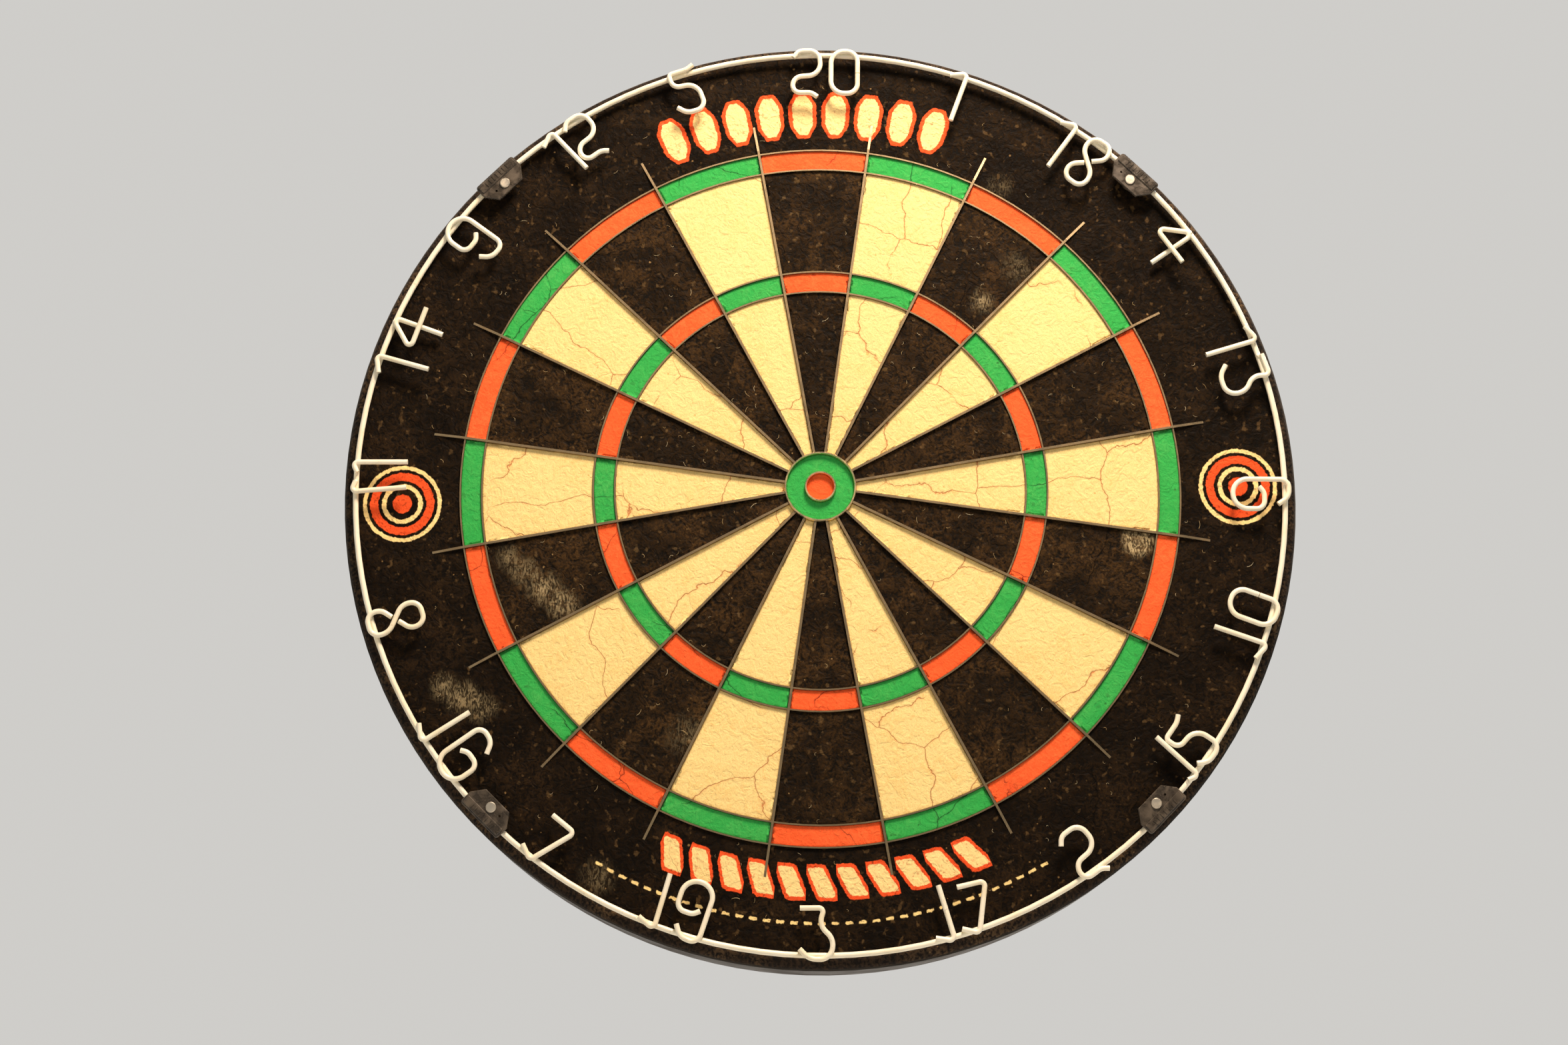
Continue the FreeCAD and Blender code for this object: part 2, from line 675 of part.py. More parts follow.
# Each digit as it is read: x to the right from its left edge, y up from its base. The wire is
# straight between the points and rounded at them. The optional third value asks for a tight bend.
SIX = [(12.6, 21.2), (9.2, 26.2), (0.6, 26.6), (0.6, 0.0), (15.0, 0.0), (15.0, 14.8), (7.0, 14.8), (4.2, 12.4)]
SIX_WIDE = 15.0
SIX_HIGH = 26.4
DIGITS = {
    "0": (22.2, [(13.0, 10.6), (13.0, 22.2), (0.0, 22.2), (0.0, 0.0), (13.0, 0.0), (13.0, 10.3)]),
    "1": (25.6, [(-8.4, 22.2), (-0.3, 26.0, TIGHT), (0.0, 0.0)]),
    "1 short": (25.6, [(-5.2, 23.6), (-0.3, 26.0, TIGHT), (0.0, 0.0)]),
    "2": (22.4, [(0.2, 18.8), (3.0, 22.4), (12.8, 22.6), (14.0, 9.8), (0.4, 8.6), (-0.2, 0.2), (9.2, 0.4),
                 (12.2, -1.8)]),
    "3": (22.6, [(0.6, 22.4), (11.6, 22.6, TIGHT), (9.4, 14.8), (16.4, 8.4), (14.2, -0.4), (5.0, -0.2),
                 (0.6, 4.2)]),
    "4": (25.4, [(11.0, 0.0), (11.2, 25.8, TIGHT), (-1.6, 11.6, TIGHT), (20.0, 11.0)]),
    "5": (21.6, [(13.4, 23.2), (10.0, 21.6), (0.6, 21.4, TIGHT), (0.8, 14.2), (12.8, 13.2), (13.4, -0.4),
                 (3.8, -0.4), (0.0, 3.6)]),
    "6": (SIX_HIGH, SIX),
    "7": (22.0, [(0.0, 22.2), (13.2, 21.2, TIGHT), (3.4, -0.2, TIGHT), (-3.6, 3.8)]),
    "8": (24.8, [(6.9, 13.7), (12.4, 18.6), (10.4, 25.2), (0.8, 25.0), (-0.6, 17.2), (11.2, 7.6), (10.0, -0.4),
                 (0.4, -0.2), (-1.2, 6.6), (4.2, 11.1)]),
    "9": (SIX_HIGH, [(SIX_WIDE - x, SIX_HIGH - y) for x, y in SIX]),
}
# how a 4's points rise, as a share of the lift that its arm needs over its stem
FOUR_LIFT = (-0.9, 0.0, 0.0, 1.0)
# Each number: whether it hangs from the ring (read from the centre outwards) or stands on it, and
# its digits as (shape, place of its left edge, lean in degrees, mirrored left to right).
NUMBERS = [
    (20, "hangs", [("2", -15.3, 0, False), ("0", 3.5, 0, False)]),
    (1, "hangs", [("1", 3.0, 2, False)]),
    (18, "hangs", [("1", -6.2, 0, False), ("8", 2.5, 0, False)]),
    (4, "hangs", [("4", -8.5, 1, False)]),
    (13, "hangs", [("1", -5.5, 1, False), ("3", 1.0, 0, False)]),
    (6, "hangs", [("6", -5.4, 0, False)]),
    (10, "stands", [("1", -6.3, 0, False), ("0", 1.4, 2, False)]),
    (15, "stands", [("1 short", -7.2, 6, False), ("5", -3.4, 0, False)]),
    (2, "stands", [("2", -10.0, 0, False)]),
    (17, "stands", [("1", -5.8, 0, False), ("7", 2.0, 0, False)]),
    (3, "stands", [("3", -8.4, 0, False)]),
    (19, "stands", [("1", -5.4, -3, False), ("9", 0.8, 0, False)]),
    (7, "stands", [("7", -4.5, -2, False)]),
    (16, "stands", [("1", -6.0, 2, False), ("6", 3.0, 0, False)]),
    (8, "stands", [("8", -2.5, 0, False)]),
    (11, "hangs", [("1 short", -6.5, -6, True), ("1 short", 8.5, 0, False)]),
    (14, "hangs", [("1", -7.0, -2, False), ("4", 1.8, 0, False)]),
    (9, "hangs", [("9", -9.4, 0, False)]),
    (12, "hangs", [("1", -3.5, -7, False), ("2", 1.4, 0, False)]),
    (5, "hangs", [("5", -9.3, 0, False)]),
]


def digit_points(shape, left, lean, mirrored, stance):
    """A digit's corners in its number's frame, whose y axis runs out through the number."""
    height, corners = DIGITS[shape]
    foot = stance == "stands"
    hooked_at_top = shape.startswith("1")
    grip = hoop_radius.number + size("digit_over").number
    tilt = math.radians(lean)
    points = []
    for index, corner in enumerate(corners):
        x, y = corner[0], corner[1]
        if foot and hooked_at_top:
            y = height - y
        if mirrored:
            x = -x
        # the lean turns the digit about the point where it meets the ring
        pivot = 0.0 if foot else height
        dx, dy = x, y - pivot
        x = left + dx * math.cos(tilt) + dy * math.sin(tilt)
        y = dy * math.cos(tilt) - dx * math.sin(tilt)
        if foot:
            x, y = -x, -y
        lift = 0.0
        if shape == "4":
            lift = (size("digit_wire").number + size("arm_clear").number) * FOUR_LIFT[index]
        points.append((Vector(x, grip + y, digit_level.number + lift), len(corner) > 2))
    return points


def build_digit(name, points):
    """One digit: round wire swept along its bent centreline."""
    path = doc.addObject("Part::Feature", f"{name}_path")
    wire = bent_wire(points, size("digit_bend").number)
    path.Shape = wire
    section = doc.addObject("Part::Circle", f"{name}_section")
    bind(section, "Radius", size("digit_wire") / 2)
    heading = points[1][0] - points[0][0]
    section.Placement = Placement(points[0][0], Rotation(Vector(0, 0, 1), heading))
    sweep = doc.addObject("Part::Sweep", name)
    sweep.Sections = [section]
    sweep.Spine = (path, [f"Edge{index + 1}" for index in range(len(wire.Edges))])
    sweep.Solid = True
    sweep.Frenet = False
    return sweep


def build_number_ring():
    """White enamelled wire hoop and the twenty wire numbers welded on its front."""
    hoop = doc.addObject("Part::Torus", "hoop")
    bind(hoop, "Radius1", hoop_radius)
    bind(hoop, "Radius2", size("hoop_wire") / 2)
    place(hoop, z=hoop_level)
    publish(hoop, "number_hoop")
    for place_index, (value, stance, digits) in enumerate(NUMBERS):
        wires = []
        for digit_index, (shape, left, lean, mirrored) in enumerate(digits):
            wires.append(build_digit(f"number_{value}_wire_{digit_index}",
                                     digit_points(shape, left, lean, mirrored, stance)))
        publish(group(f"number_{value}_wires", wires), f"number_{value}",
                turn=segment_angle * place_index + size("ring_turn").number)


# ---------------------------------------------------------------- ring clips
def build_clip(index):
    """One moulded clip: a plate over the hoop that turns on its nail, with a raised ribbed band."""
    half_long = size("clip_long") / 2
    half_nose = size("clip_nose") / 2
    inner_y = -size("clip_pin_inset")
    outer_y = size("clip_wide") - size("clip_pin_inset")
    side_y = outer_y - size("clip_side")
    body = doc.addObject("PartDesign::Body", f"clip_{index}")
    plate = pad(body, f"clip_{index}_plate", outline(body, f"clip_{index}_outline", "XY_Plane", [
        (-half_nose, inner_y), (half_nose, inner_y), (half_long, side_y), (half_long, outer_y),
        (-half_long, outer_y), (-half_long, side_y),
    ]), size("clip_plate"))
    doc.recompute()
    corner = size("clip_corner").number
    upright = [
        f"Edge{number + 1}" for number, edge in enumerate(plate.Shape.Edges)
        if abs(edge.tangentAt(edge.FirstParameter).z) > 0.9
        and edge.CenterOfMass.y > outer_y.number - 0.1
    ]
    rounded = body.newObject("PartDesign::Fillet", f"clip_{index}_corners")
    rounded.Base = (plate, upright)
    bind(rounded, "Radius", size("clip_corner"))
    doc.recompute()
    rim = [
        f"Edge{number + 1}" for number, edge in enumerate(rounded.Shape.Edges)
        if abs(edge.CenterOfMass.z - size("clip_plate").number) < 0.01
    ]
    eased = body.newObject("PartDesign::Chamfer", f"clip_{index}_edge")
    eased.Base = (rounded, rim)
    bind(eased, "Size", size("clip_edge"))
    place(body, z=clip_under)
    inset = corner * 0.5
    band = doc.addObject("Part::Box", f"clip_{index}_band")
    bind(band, "Length", size("clip_long") - 2 * inset)
    bind(band, "Width", size("clip_band") - inset)
    bind(band, "Height", size("clip_plate") / 2 + size("clip_band_rise"))
    place(band, x=-half_long + inset, y=outer_y - size("clip_band"), z=clip_top - size("clip_plate") / 2)
    band_eased = doc.addObject("Part::Chamfer", f"clip_{index}_band_eased")
    doc.recompute()
    band_eased.Base = band
    top_z = band.Shape.BoundBox.ZMax
    rim_size = size("clip_edge").number
    band_eased.Edges = [
        (number + 1, rim_size, rim_size) for number, edge in enumerate(band.Shape.Edges)
        if abs(edge.CenterOfMass.z - top_z) < 0.01 or abs(edge.tangentAt(edge.FirstParameter).z) > 0.9
    ]
    ribs = []
    for rib_index in range(RIBS):
        rib = doc.addObject("Part::Box", f"clip_{index}_rib_{rib_index}")
        bind(rib, "Length", size("rib_wide"))
        bind(rib, "Width", size("clip_band") * 0.55)
        bind(rib, "Height", size("clip_band_rise") + size("rib_rise"))
        place(rib, x=size("rib_pitch") * (rib_index - (RIBS - 1) / 2) - size("rib_wide") / 2,
              y=outer_y - size("clip_band") * 0.8, z=clip_top)
        ribs.append(rib)
    boss = cylinder(f"clip_{index}_boss", clip_boss, face_level + size("clip_foot_gap"),
                    clip_under + size("clip_plate") / 2)
    solid = fuse(f"clip_{index}_solid", body, band_eased, boss, *ribs)
    start = face_level - OVERCUT
    end = clip_top + size("clip_band_rise") + size("rib_rise") + OVERCUT
    bore = cylinder(f"clip_{index}_bore", size("nail_shank") / 2 + size("nail_fit"), start, end)
    spare = cylinder(f"clip_{index}_spare", size("spare_hole") / 2, start, end)
    place(spare, x=-size("spare_hole_at"), z=start)
    clip = cut(f"clip_{index}_drilled", solid, group(f"clip_{index}_holes", [bore, spare]))
    angle = 45.0 + 90.0 * index + size("clip_turn").number
    place(clip, y=clip_pin_radius)
    publish(clip, CLIP_NAMES[index], turn=angle)


def build_clip_nails():
    """Flat-headed nails that the clips turn on, and the holes they leave in the face."""
    shank = size("nail_shank") / 2
    head = size("nail_head") / 2
    seat = clip_top + size("nail_fit")
    tip = clip_under - size("nail_long")
    top = seat + size("nail_head_thick")
    edge = size("nail_head_edge")
    profile = [
        (0, tip), (shank, tip + size("nail_point")), (shank, seat), (head, seat), (head, top - edge),
        (head - edge, top), (0, top),
    ]
    nails = []
    for index in range(CLIPS):
        x, y = around(clip_pin_radius, 45.0 + 90.0 * index + size("clip_turn").number)
        nails.append(turned(f"clip_nail_{index}", profile, x, y))
    publish(group("clip_nail_group", nails), "clip_nails")
    return nails


# ---------------------------------------------------------------- assembly
build_wall_bracket()
build_wall_screws()
build_hanging_screw()
build_backboard()
build_hanger_bush()
build_spacer_pads()
nails = build_clip_nails()
plates = build_radial_blades()
radial, rings, bull_rings = build_blade_grid(plates)
build_sisal(plates, nails)
build_band()
build_prints(plates, nails)
publish(radial, "radial_blades")
for ring, label in rings + bull_rings:
    publish(ring, label)
build_number_ring()
for clip_index in range(CLIPS):
    build_clip(clip_index)
doc.recompute()

# ---------------------------------------------------------------- checks and files
for obj in doc.Objects:
    if "Invalid" in obj.State or "Error" in obj.State:
        raise RuntimeError(f"{obj.Name} failed to build: {obj.State}")
os.makedirs("parts", exist_ok=True)
for piece in PIECES:
    shape = piece.Shape
    if shape.isNull() or not shape.isValid() or not shape.Solids:
        raise RuntimeError(f"{piece.Label} has no valid solid")
for piece in PIECES:
    piece.Shape.exportStep(f"parts/{piece.Label}.step")
    box = piece.Shape.BoundBox
    print(f"{piece.Label:20s} {len(piece.Shape.Solids):3d} solids {piece.Shape.Volume / 1000:10.2f} cm3  "
          f"x {box.XMin:.1f} {box.XMax:.1f}  y {box.YMin:.1f} {box.YMax:.1f}  z {box.ZMin:.1f} {box.ZMax:.1f}")
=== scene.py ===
"""Surfaces and fine detail of a bristle dartboard with a wire number ring.

Everything is in metres in the board's own frame: +Z is up, -Y points at the player and the board's
axis is the line x = z = 0. The CAD parts stay where they are. This file dresses them, replaces the
thin printed skins with fibrous ones, and adds the small things that a used board has.
"""
import logging
import math
import random
from collections.abc import Callable, Iterable
from dataclasses import dataclass, field
from enum import Enum

import bmesh
import bpy
from mathutils import Matrix, Vector


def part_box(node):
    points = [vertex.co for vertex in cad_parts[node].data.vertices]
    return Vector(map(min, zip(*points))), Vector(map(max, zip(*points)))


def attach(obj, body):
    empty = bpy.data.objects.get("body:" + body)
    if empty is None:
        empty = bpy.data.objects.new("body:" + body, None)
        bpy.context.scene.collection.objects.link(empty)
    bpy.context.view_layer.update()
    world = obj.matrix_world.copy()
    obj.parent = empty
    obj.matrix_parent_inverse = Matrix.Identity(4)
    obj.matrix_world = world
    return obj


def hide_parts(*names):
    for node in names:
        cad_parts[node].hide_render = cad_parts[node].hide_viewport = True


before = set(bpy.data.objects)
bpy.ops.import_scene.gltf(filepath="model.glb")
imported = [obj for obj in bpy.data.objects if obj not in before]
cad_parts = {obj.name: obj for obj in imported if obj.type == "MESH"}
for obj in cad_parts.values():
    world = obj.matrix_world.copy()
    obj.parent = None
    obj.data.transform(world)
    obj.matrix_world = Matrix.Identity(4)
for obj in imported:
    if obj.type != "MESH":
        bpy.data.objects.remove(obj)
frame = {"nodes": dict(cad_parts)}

LOG = logging.getLogger("dartboard")
MM = 0.001
FACE_LEVEL = -0.0467            # where the scuffs are centred, in the depth of the print
HALF_RADIAL = MM * 0.55         # half a radial blade's thickness
HAIR = MM * 0.02                # between a skin and the blade beside it
RIM_LAP = MM * 0.2              # how far the rim skin reaches under the border
Colour = tuple[float, float, float]
Socket = bpy.types.NodeSocket
Feed = Socket | float


def linear(red: int, green: int, blue: int) -> Colour:
    """Turn a display colour into scene-linear values.

    Args:
        red, green, blue: display values from 0 to 255.

    Returns:
        The same colour in linear light.
    """
    def channel(value: int) -> float:
        share = value / 255
        return share / 12.92 if share <= 0.04045 else ((share + 0.055) / 1.055) ** 2.4

    return channel(red), channel(green), channel(blue)


# ---------------------------------------------------------------- node graphs
class Graph:
    """The shader nodes of one material, with short names for the ones that the finishes use."""

    def __init__(self, name: str) -> None:
        """Start a material with one principled shader.

        Args:
            name: the material's name.
        """
        self.material = bpy.data.materials.new(name)
        self.material.use_nodes = True
        self.tree = self.material.node_tree
        self.tree.nodes.clear()
        self.shader = self.tree.nodes.new("ShaderNodeBsdfPrincipled")
        output = self.tree.nodes.new("ShaderNodeOutputMaterial")
        self.tree.links.new(self.shader.outputs["BSDF"], output.inputs["Surface"])
        self.place: Socket = self.tree.nodes.new("ShaderNodeTexCoord").outputs["Object"]

    def feed(self, socket: Socket, value: Feed | Colour) -> None:
        """Link a socket to another, or set it to a constant."""
        if isinstance(value, bpy.types.NodeSocket):
            self.tree.links.new(value, socket)
        elif isinstance(value, tuple) and len(socket.default_value) == 4:
            socket.default_value = (*value, 1.0)
        else:
            socket.default_value = value

    def set(self, **values: Feed | Colour) -> None:
        """Set the principled shader's sockets, whose names have underscores for spaces here."""
        for name, value in values.items():
            self.feed(self.shader.inputs[name.replace("_", " ")], value)

    def math(self, operation: str, first: Feed, second: Feed = 0.0, third: Feed = 0.0) -> Socket:
        """One step of arithmetic.

        Args:
            operation: the Math node's operation.
            first, second, third: its inputs.

        Returns:
            The result's socket.
        """
        node = self.tree.nodes.new("ShaderNodeMath")
        node.operation = operation
        for socket, value in zip(node.inputs, (first, second, third)):
            self.feed(socket, value)
        return node.outputs[0]

    def times(self, first: Feed, second: Feed) -> Socket:
        """The product of two values."""
        return self.math("MULTIPLY", first, second)

    def minus(self, first: Feed, second: Feed) -> Socket:
        """The first value less the second."""
        return self.math("SUBTRACT", first, second)

    def plus(self, first: Feed, second: Feed) -> Socket:
        """The sum of two values."""
        return self.math("ADD", first, second)

    def size(self, value: Feed) -> Socket:
        """A value without its sign."""
        return self.math("ABSOLUTE", value)

    def noise(self, size: float, detail: float = 2.0, twist: float = 0.0, stretch: Colour | None = None) -> Socket:
        """Smooth random values.

        Args:
            size: the pattern's grain in metres.
            detail: how many finer layers it has.
            twist: how much it is distorted.
            stretch: factors on the three axes, for a drawn-out grain.

        Returns:
            A value around 0.5.
        """
        node = self.tree.nodes.new("ShaderNodeTexNoise")
        self.feed(node.inputs["Vector"], self.stretched(stretch) if stretch else self.place)
        self.feed(node.inputs["Scale"], 1.0 / size)
        self.feed(node.inputs["Detail"], detail)
        self.feed(node.inputs["Distortion"], twist)
        return node.outputs["Fac"]

    def stretched(self, factors: Colour) -> Socket:
        """The place on the piece with each axis scaled by a factor."""
        node = self.tree.nodes.new("ShaderNodeMapping")
        self.feed(node.inputs["Vector"], self.place)
        node.inputs["Scale"].default_value = factors
        return node.outputs["Vector"]

    def warped(self, size: float, amount: float) -> Socket:
        """The place on the piece, pushed about by noise.

        Args:
            size: the grain of the push in metres.
            amount: how far it pushes in metres.

        Returns:
            The pushed place.
        """
        noise = self.tree.nodes.new("ShaderNodeTexNoise")
        self.feed(noise.inputs["Vector"], self.place)
        self.feed(noise.inputs["Scale"], 1.0 / size)
        self.feed(noise.inputs["Detail"], 5.0)
        push = self.tree.nodes.new("ShaderNodeVectorMath")
        push.operation = "MULTIPLY_ADD"
        self.feed(push.inputs[0], noise.outputs["Color"])
        push.inputs[1].default_value = (amount * 2,) * 3
        self.feed(push.inputs[2], self.place)
        return push.outputs[0]

    def cells(self, size: float, feature: str = "F1", vector: Socket | None = None) -> bpy.types.Node:
        """Scattered cells.

        Args:
            size: the cells' size in metres.
            feature: the Voronoi node's feature.
            vector: the place to read, if not the plain one.

        Returns:
            The Voronoi node.
        """
        node = self.tree.nodes.new("ShaderNodeTexVoronoi")
        node.feature = feature
        self.feed(node.inputs["Vector"], vector or self.place)
        self.feed(node.inputs["Scale"], 1.0 / size)
        return node

    def ramp(self, value: Feed, low: float, high: float, start: float = 0.0, end: float = 1.0) -> Socket:
        """Map a range of a value smoothly onto another.

        Args:
            value: the value.
            low, high: the range that is read.
            start, end: what its ends become.

        Returns:
            The mapped value.
        """
        node = self.tree.nodes.new("ShaderNodeMapRange")
        node.interpolation_type = "SMOOTHSTEP"
        entries = (("Value", value), ("From Min", low), ("From Max", high), ("To Min", start), ("To Max", end))
        for name, entry in entries:
            self.feed(node.inputs[name], entry)
        return node.outputs["Result"]

    def mix(self, share: Feed, first: Feed | Colour, second: Feed | Colour) -> Socket:
        """A colour between two.

        Args:
            share: 0 for the first colour, 1 for the second.
            first, second: the colours.

        Returns:
            The mixed colour.
        """
        node = self.tree.nodes.new("ShaderNodeMix")
        node.data_type = "RGBA"
        for index, value in ((0, share), (6, first), (7, second)):
            self.feed(node.inputs[index], value)
        return node.outputs[2]

    def specks(self, size: float, radius: float, chance: float) -> Socket:
        """Scattered round specks.

        Args:
            size: the spacing of the places where one may lie, in metres.
            radius: a speck's radius as a share of that spacing.
            chance: the share of the places that have one.

        Returns:
            1 inside a speck, 0 outside.
        """
        cells = self.cells(size, vector=self.warped(size / 3, size / 12))
        luck = self.tree.nodes.new("ShaderNodeSeparateColor")
        self.feed(luck.inputs[0], cells.outputs["Color"])
        grown = self.times(self.ramp(luck.outputs[0], 1 - chance, 1.0), radius)
        return self.ramp(self.minus(grown, cells.outputs["Distance"]), 0.0, radius * 0.35)

    def cracks(self, size: float, width: float, share: float) -> Socket:
        """Fine wandering cracks.

        Args:
            size: how far apart they run, in metres.
            width: their width in metres.
            share: how much of the surface has them.

        Returns:
            1 in a crack, 0 elsewhere.
        """
        edges = self.cells(size, "DISTANCE_TO_EDGE", self.warped(size / 2.4, size / 6))
        line = self.ramp(edges.outputs["Distance"], 0.0, width / size, 1.0, 0.0)
        kept = self.ramp(self.noise(size * 0.55, 3), 0.6 - share * 0.26, 0.72 - share * 0.26)
        return self.times(line, kept)

    def bump(self, *layers: tuple[Socket, float]) -> None:
        """Put relief on the shader.

        Args:
            layers: pairs of a height between 0 and 1, and its depth in metres.
        """
        height: Feed = 0.0
        for value, depth in layers:
            height = self.math("MULTIPLY_ADD", value, depth / MM, height)
        node = self.tree.nodes.new("ShaderNodeBump")
        self.feed(node.inputs["Height"], height)
        node.inputs["Strength"].default_value = 1.0
        node.inputs["Distance"].default_value = MM
        self.feed(self.shader.inputs["Normal"], node.outputs["Normal"])


# ---------------------------------------------------------------- finishes
@dataclass(frozen=True)
class Scuff:
    """A chalky mark left on the black print."""

    x: float
    z: float
    radius: float
    hollow: float = 0.0
    strength: float = 0.5

    def mask(self, graph: Graph) -> Socket:
        """The mark's strength over the face.

        Args:
            graph: the material that it is worked into.

        Returns:
            0 away from the mark, up to its strength in it.
        """
        flat = graph.tree.nodes.new("ShaderNodeVectorMath")
        flat.operation = "DISTANCE"
        graph.feed(flat.inputs[0], graph.warped(self.radius * 0.8, self.radius * 0.35))
        flat.inputs[1].default_value = (self.x + self.radius * 0.35, FACE_LEVEL, self.z + self.radius * 0.35)
        reach = graph.math("DIVIDE", flat.outputs["Value"], self.radius)
        ring = graph.size(graph.minus(reach, self.hollow))
        body = graph.ramp(ring, 0.0, 1.0 - self.hollow * 0.6, self.strength, 0.0)
        strokes = graph.ramp(graph.noise(0.0021, 5, 1.6, (1.5, 1.0, 0.6)), 0.42, 0.62)
        return graph.times(body, graph.math("MULTIPLY_ADD", strokes, 0.92, 0.08))


@dataclass(frozen=True)
class SisalInk:
    """Screen-printed ink on the ends of compressed fibres."""

    name: str
    colour: Colour
    worn: Colour
    speck: Colour
    crack: Colour
    mottle: float = 0.35
    speck_chance: float = 0.25
    crack_share: float = 0.5
    roughness: float = 0.86
    sheen: float = 0.24
    creasing: float = MM * 0.15
    scuffs: tuple[Scuff, ...] = ()

    def graph(self) -> Graph:
        """Build the ink's node graph.

        Returns:
            The graph, whose material is ready to use.
        """
        graph = Graph(self.name)
        cloud = graph.ramp(graph.noise(0.024, 4, 0.8), 0.36, 0.68)
        crease = graph.ramp(graph.noise(0.0052, 4, 1.6), 0.36, 0.64)
        grain = graph.ramp(graph.noise(0.0011, 3), 0.38, 0.68)
        fine = graph.noise(0.00042, 2)
        wear = graph.times(graph.math("MULTIPLY_ADD", cloud, 0.7, 0.3),
                          graph.math("MULTIPLY_ADD", grain, 0.55, graph.times(crease, 0.45)))
        base = graph.mix(graph.times(wear, self.mottle), self.colour, self.worn)
        # Painted shade: where the fine grain is low, in the pits that the bump below sinks, the ink is darkened
        # towards a darker copy of itself.
        deep = tuple(value * 0.55 for value in self.colour)
        base = graph.mix(graph.ramp(fine, 0.34, 0.46, 0.4, 0.0), base, deep)
        small = graph.specks(0.0042, 0.15, self.speck_chance)
        large = graph.specks(0.0125, 0.085, self.speck_chance * 0.6)
        dots = graph.math("MAXIMUM", small, large)
        halo = graph.ramp(graph.noise(0.0034, 2), 0.62, 0.74, 0.0, self.speck_chance)
        base = graph.mix(graph.math("MAXIMUM", graph.times(dots, 0.6), halo), base, self.speck)
        lines = graph.cracks(0.052, 0.00024, self.crack_share)
        stain = graph.cracks(0.052, 0.0009, self.crack_share)
        base = graph.mix(graph.math("MULTIPLY_ADD", stain, 0.2, graph.times(lines, 0.62)), base, self.crack)
        for scuff in self.scuffs:
            base = graph.mix(scuff.mask(graph), base, CHALK)
        graph.set(Base_Color=self.printed(graph, base), Roughness=graph.ramp(grain, 0, 1, self.roughness, 0.97),
                  Specular_IOR_Level=self.sheen)
        graph.bump((grain, 0.00006), (fine, 0.00005), (crease, self.creasing), (lines, -0.0002), (dots, -0.00008))
        return graph

    def printed(self, graph: Graph, ground: Socket) -> Socket:
        """What is printed over the plain ink. The plain ink has nothing."""
        return ground


class Tile(Enum):
    """The outline of one tile in a printed row."""

    LOZENGE = "lozenge"
    SLANT = "slant"
    DASH = "dash"


@dataclass(frozen=True)
class TileRow:
    """A row of plain tiles printed along an arc of the border."""

    tile: Tile
    middle: float           # degrees clockwise from the top
    pitch: float            # degrees
    count: int
    radius: float
    half_wide: float
    half_high: float
    outline: float

    def depth(self, graph: Graph, polar: tuple[Socket, Socket]) -> Socket:
        """How deep inside a tile a place lies.

        Args:
            graph: the border's graph.
            polar: the place's radius and clockwise angle.

        Returns:
            Metres inside the nearest tile's outline, below zero outside.
        """
        reach, angle = polar
        pitch = math.radians(self.pitch)
        step = graph.math("DIVIDE", graph.minus(angle, math.radians(self.middle)), pitch)
        shift = 0.5 if self.count % 2 == 0 else 0.0
        index = graph.minus(graph.math("ROUND", graph.plus(step, shift)), shift)
        along = graph.times(graph.minus(step, index), pitch * self.radius)
        across = graph.minus(reach, self.radius)
        if self.tile is Tile.SLANT:
            along = graph.minus(along, graph.times(across, -0.45))
        side = graph.minus(self.half_wide, graph.size(along))
        end = graph.minus(self.half_high, graph.size(across))
        inside = graph.math("SMOOTH_MIN", side, end, self.half_wide * 0.5)
        if self.tile is Tile.LOZENGE:
            slope = self.half_wide / self.half_high
            sloped = graph.plus(graph.size(along), graph.times(graph.size(across), slope))
            taper = graph.minus(self.half_wide * 1.45, sloped)
            inside = graph.math("SMOOTH_MIN", inside, taper, self.half_wide * 0.2)
        beyond = graph.minus((self.count - 1) / 2 + 0.1, graph.size(index))
        return graph.math("MINIMUM", inside, beyond)


@dataclass(frozen=True)
class Roundel:
    """A plain ringed disc printed on the border."""

    x: float
    z: float
    rings: tuple[tuple[float, float, bool], ...]   # middle radius, half width, red or cream

    def depth(self, graph: Graph, plane: tuple[Socket, Socket], red: bool) -> Socket:
        """How deep inside a ring of one colour a place lies.

        Args:
            graph: the border's graph.
            plane: the place's x and z.
            red: which rings are asked for.

        Returns:
            Metres inside the nearest ring, below zero outside.
        """
        across = graph.minus(plane[0], self.x)
        up = graph.minus(plane[1], self.z)
        reach = graph.math("SQRT", graph.math("MULTIPLY_ADD", across, across, graph.times(up, up)))
        best: Feed = -1.0
        for middle, half, is_red in self.rings:
            if is_red is red:
                off = graph.size(graph.minus(reach, middle))
                best = graph.math("MAXIMUM", best, graph.minus(half, off))
        return best


